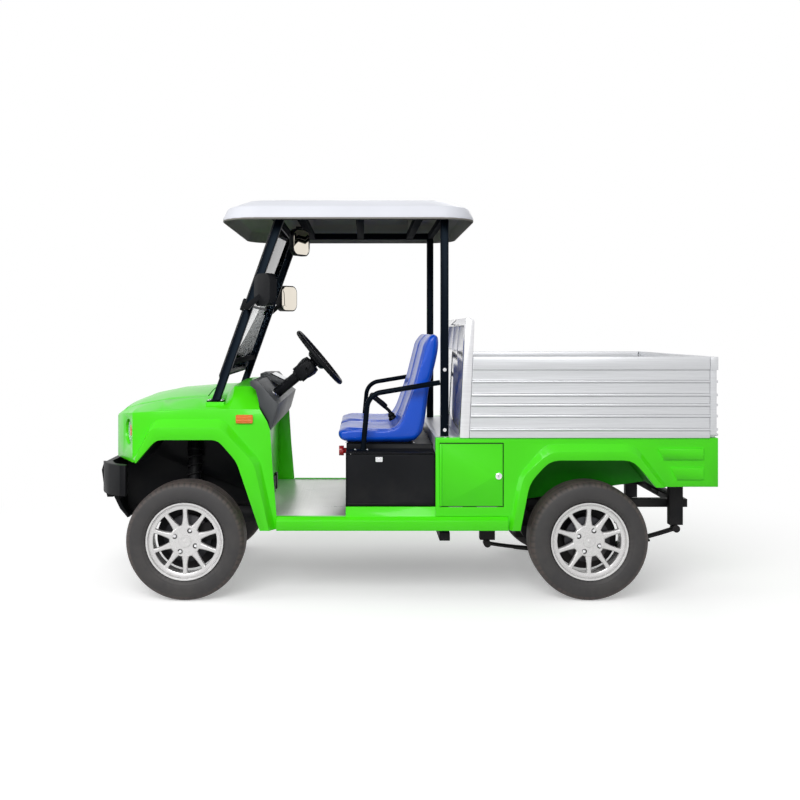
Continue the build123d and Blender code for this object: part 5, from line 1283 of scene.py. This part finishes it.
# %% [markdown]
# ## Dashboard fittings
# The pod in the middle of the dashboard holds a pale display behind a dark frame. On the slope below are
# a row of rocker switches and a key switch, and a stalk stands off the steering column. These are small
# plates with eased edges, each set on the surface that carries it.

# %% Dashboard fittings
POD_AT, POD_OUT = (0.646, 0, 1.0315), (-47, 0, 96)
SLOPE_AT, SLOPE_OUT = (0.640, 0.0, 0.968), (-36, 0, 30)
ROCKERS, ROCKER_FROM, ROCKER_STEP = 4, -0.330, 0.040
KEY_Y = 0.390
key_section = [(16, -2), (16, 4), (13, 7), (0, 7.2)]
STALK_DOWN = 0.085
# Stalk columns are distance across the truck from the shaft and distance up the shaft
stalk_points = [(45, 0), (110, 12), (150, 20)]


def panel_plate(bm, at, size, low, high, ease, finish=0):
    """A plate of that width, height and corner radius, with heights above its surface, all in mm."""
    plate(bm, rounded_box(*(v * MM for v in size)), at, low * MM, high * MM, ease * MM, finish=finish)


bm = bmesh.new()
pod_face = axes_at(POD_AT, POD_OUT, (0, 1, 0))
panel_plate(bm, pod_face, (236, 92, 12), -4, 4, 2)
panel_plate(bm, pod_face, (206, 70, 6), 0, 5.2, 0.8, finish=1)
slope = axes_at(SLOPE_AT, SLOPE_OUT, (0, 1, 0))
for k in range(ROCKERS):
    rocker = slope @ Matrix.Translation((ROCKER_FROM + ROCKER_STEP * k, 0, 0))
    panel_plate(bm, rocker, (32, 20, 3), -3, 3, 1)
    panel_plate(bm, rocker, (24, 13, 2), 0, 6, 1.5, finish=2)
key_switch = slope @ Matrix.Translation((KEY_Y, 0, 0))
turned(bm, metres(key_section), key_switch, 24, finish=3)
panel_plate(bm, key_switch, (3, 16, 1), 6, 8.5, 0.5)
stalk_root = wheel_middle - shaft * STALK_DOWN
rod(bm, [stalk_root + Vector((0, y, 0)) + shaft * up for y, up in metres(stalk_points)], 6 * MM)
piece("dash_fittings", bm, "chassis", "dash_grey", "moulded_black", "display_pale", "dash_grey",
      "bright_steel")
print("dash fittings: display,", ROCKERS, "rockers, key switch, stalk")

# %% [markdown]
# ## Fasteners, latches and locks
# The pillar feet, armrest plates, roof rails and bumper are bolted on, and the bolts tell the eye how
# large the truck is. They are one mesh on the chassis. The latches of the battery doors and the locks of
# the hatches must open with their panels, so they are pieces of their own that ride on those bodies.

# %% Fasteners on the chassis
UP, LEFT, BUMPER_OUT = (0, 0, 1), (0, 1, 0), (72, 0, -19)
# Columns are x, y and z on the left side, direction out, radius
bolt_table = [(906 + dx, 505 + dy, 942, UP, 5) for dx in (-31, 31) for dy in (-27, 27)]
bolt_table += [(x, 519, 705, UP, 4.5) for x in (180, 238)]
bolt_table += [(1457.5, y, 500, BUMPER_OUT, 5) for y in (260, 330)]
bolt_table += [(x, 524.5, 1825, LEFT, 5) for x in (-170, 100, 380, 600)]
bolt_table += [(-190, 524.5, z, LEFT, 5) for z in (800, 1088)]
bm = bmesh.new()
for side in (1, -1):
    for x, y, z, out, radius in bolt_table:
        bolt(bm, axes_at((x * MM, side * y * MM, z * MM), (out[0], side * out[1], out[2])), radius * MM)
piece("frame_bolts", bm, "chassis", "chassis_steel", "bright_steel")
print("bolts on the frame:", 2 * len(bolt_table))

# %% Latches and locks on the panels
LATCH_X, LATCH_Z = 0.125, 0.669
LOCK_X, LOCK_Y, LOCK_Z = -0.437, 0.605, 0.591
lock_section = [(15.5, -5), (15.5, 1), (13, 3), (10, 3.2), (9, 1), (0, 1.2)]
for side, hand in ((1, "left"), (-1, "right")):
    door_low, door_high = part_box("battery_door_" + hand)
    bm = bmesh.new()
    latch = axes_at((LATCH_X, door_high.y if side > 0 else door_low.y, LATCH_Z), (0, side, 0))
    panel_plate(bm, latch, (34, 24, 4), -6, 1.8, 1)
    panel_plate(bm, latch, (18, 10, 3), 0, 3.5, 1)
    piece("door_latch_" + hand, bm, "battery_door_" + hand, "battery_case", "bright_steel")
    bm = bmesh.new()
    lock = axes_at((LOCK_X, side * LOCK_Y, LOCK_Z), (0, side, 0))
    turned(bm, metres(lock_section), lock, 32)
    panel_plate(bm, lock, (2.5, 11, 1), 0.5, 2, 0, finish=1)
    piece("hatch_lock_" + hand, bm, "side_hatch_" + hand, "body_green", "bright_steel", "seal_rubber")
print("latches and locks: 2 of each")
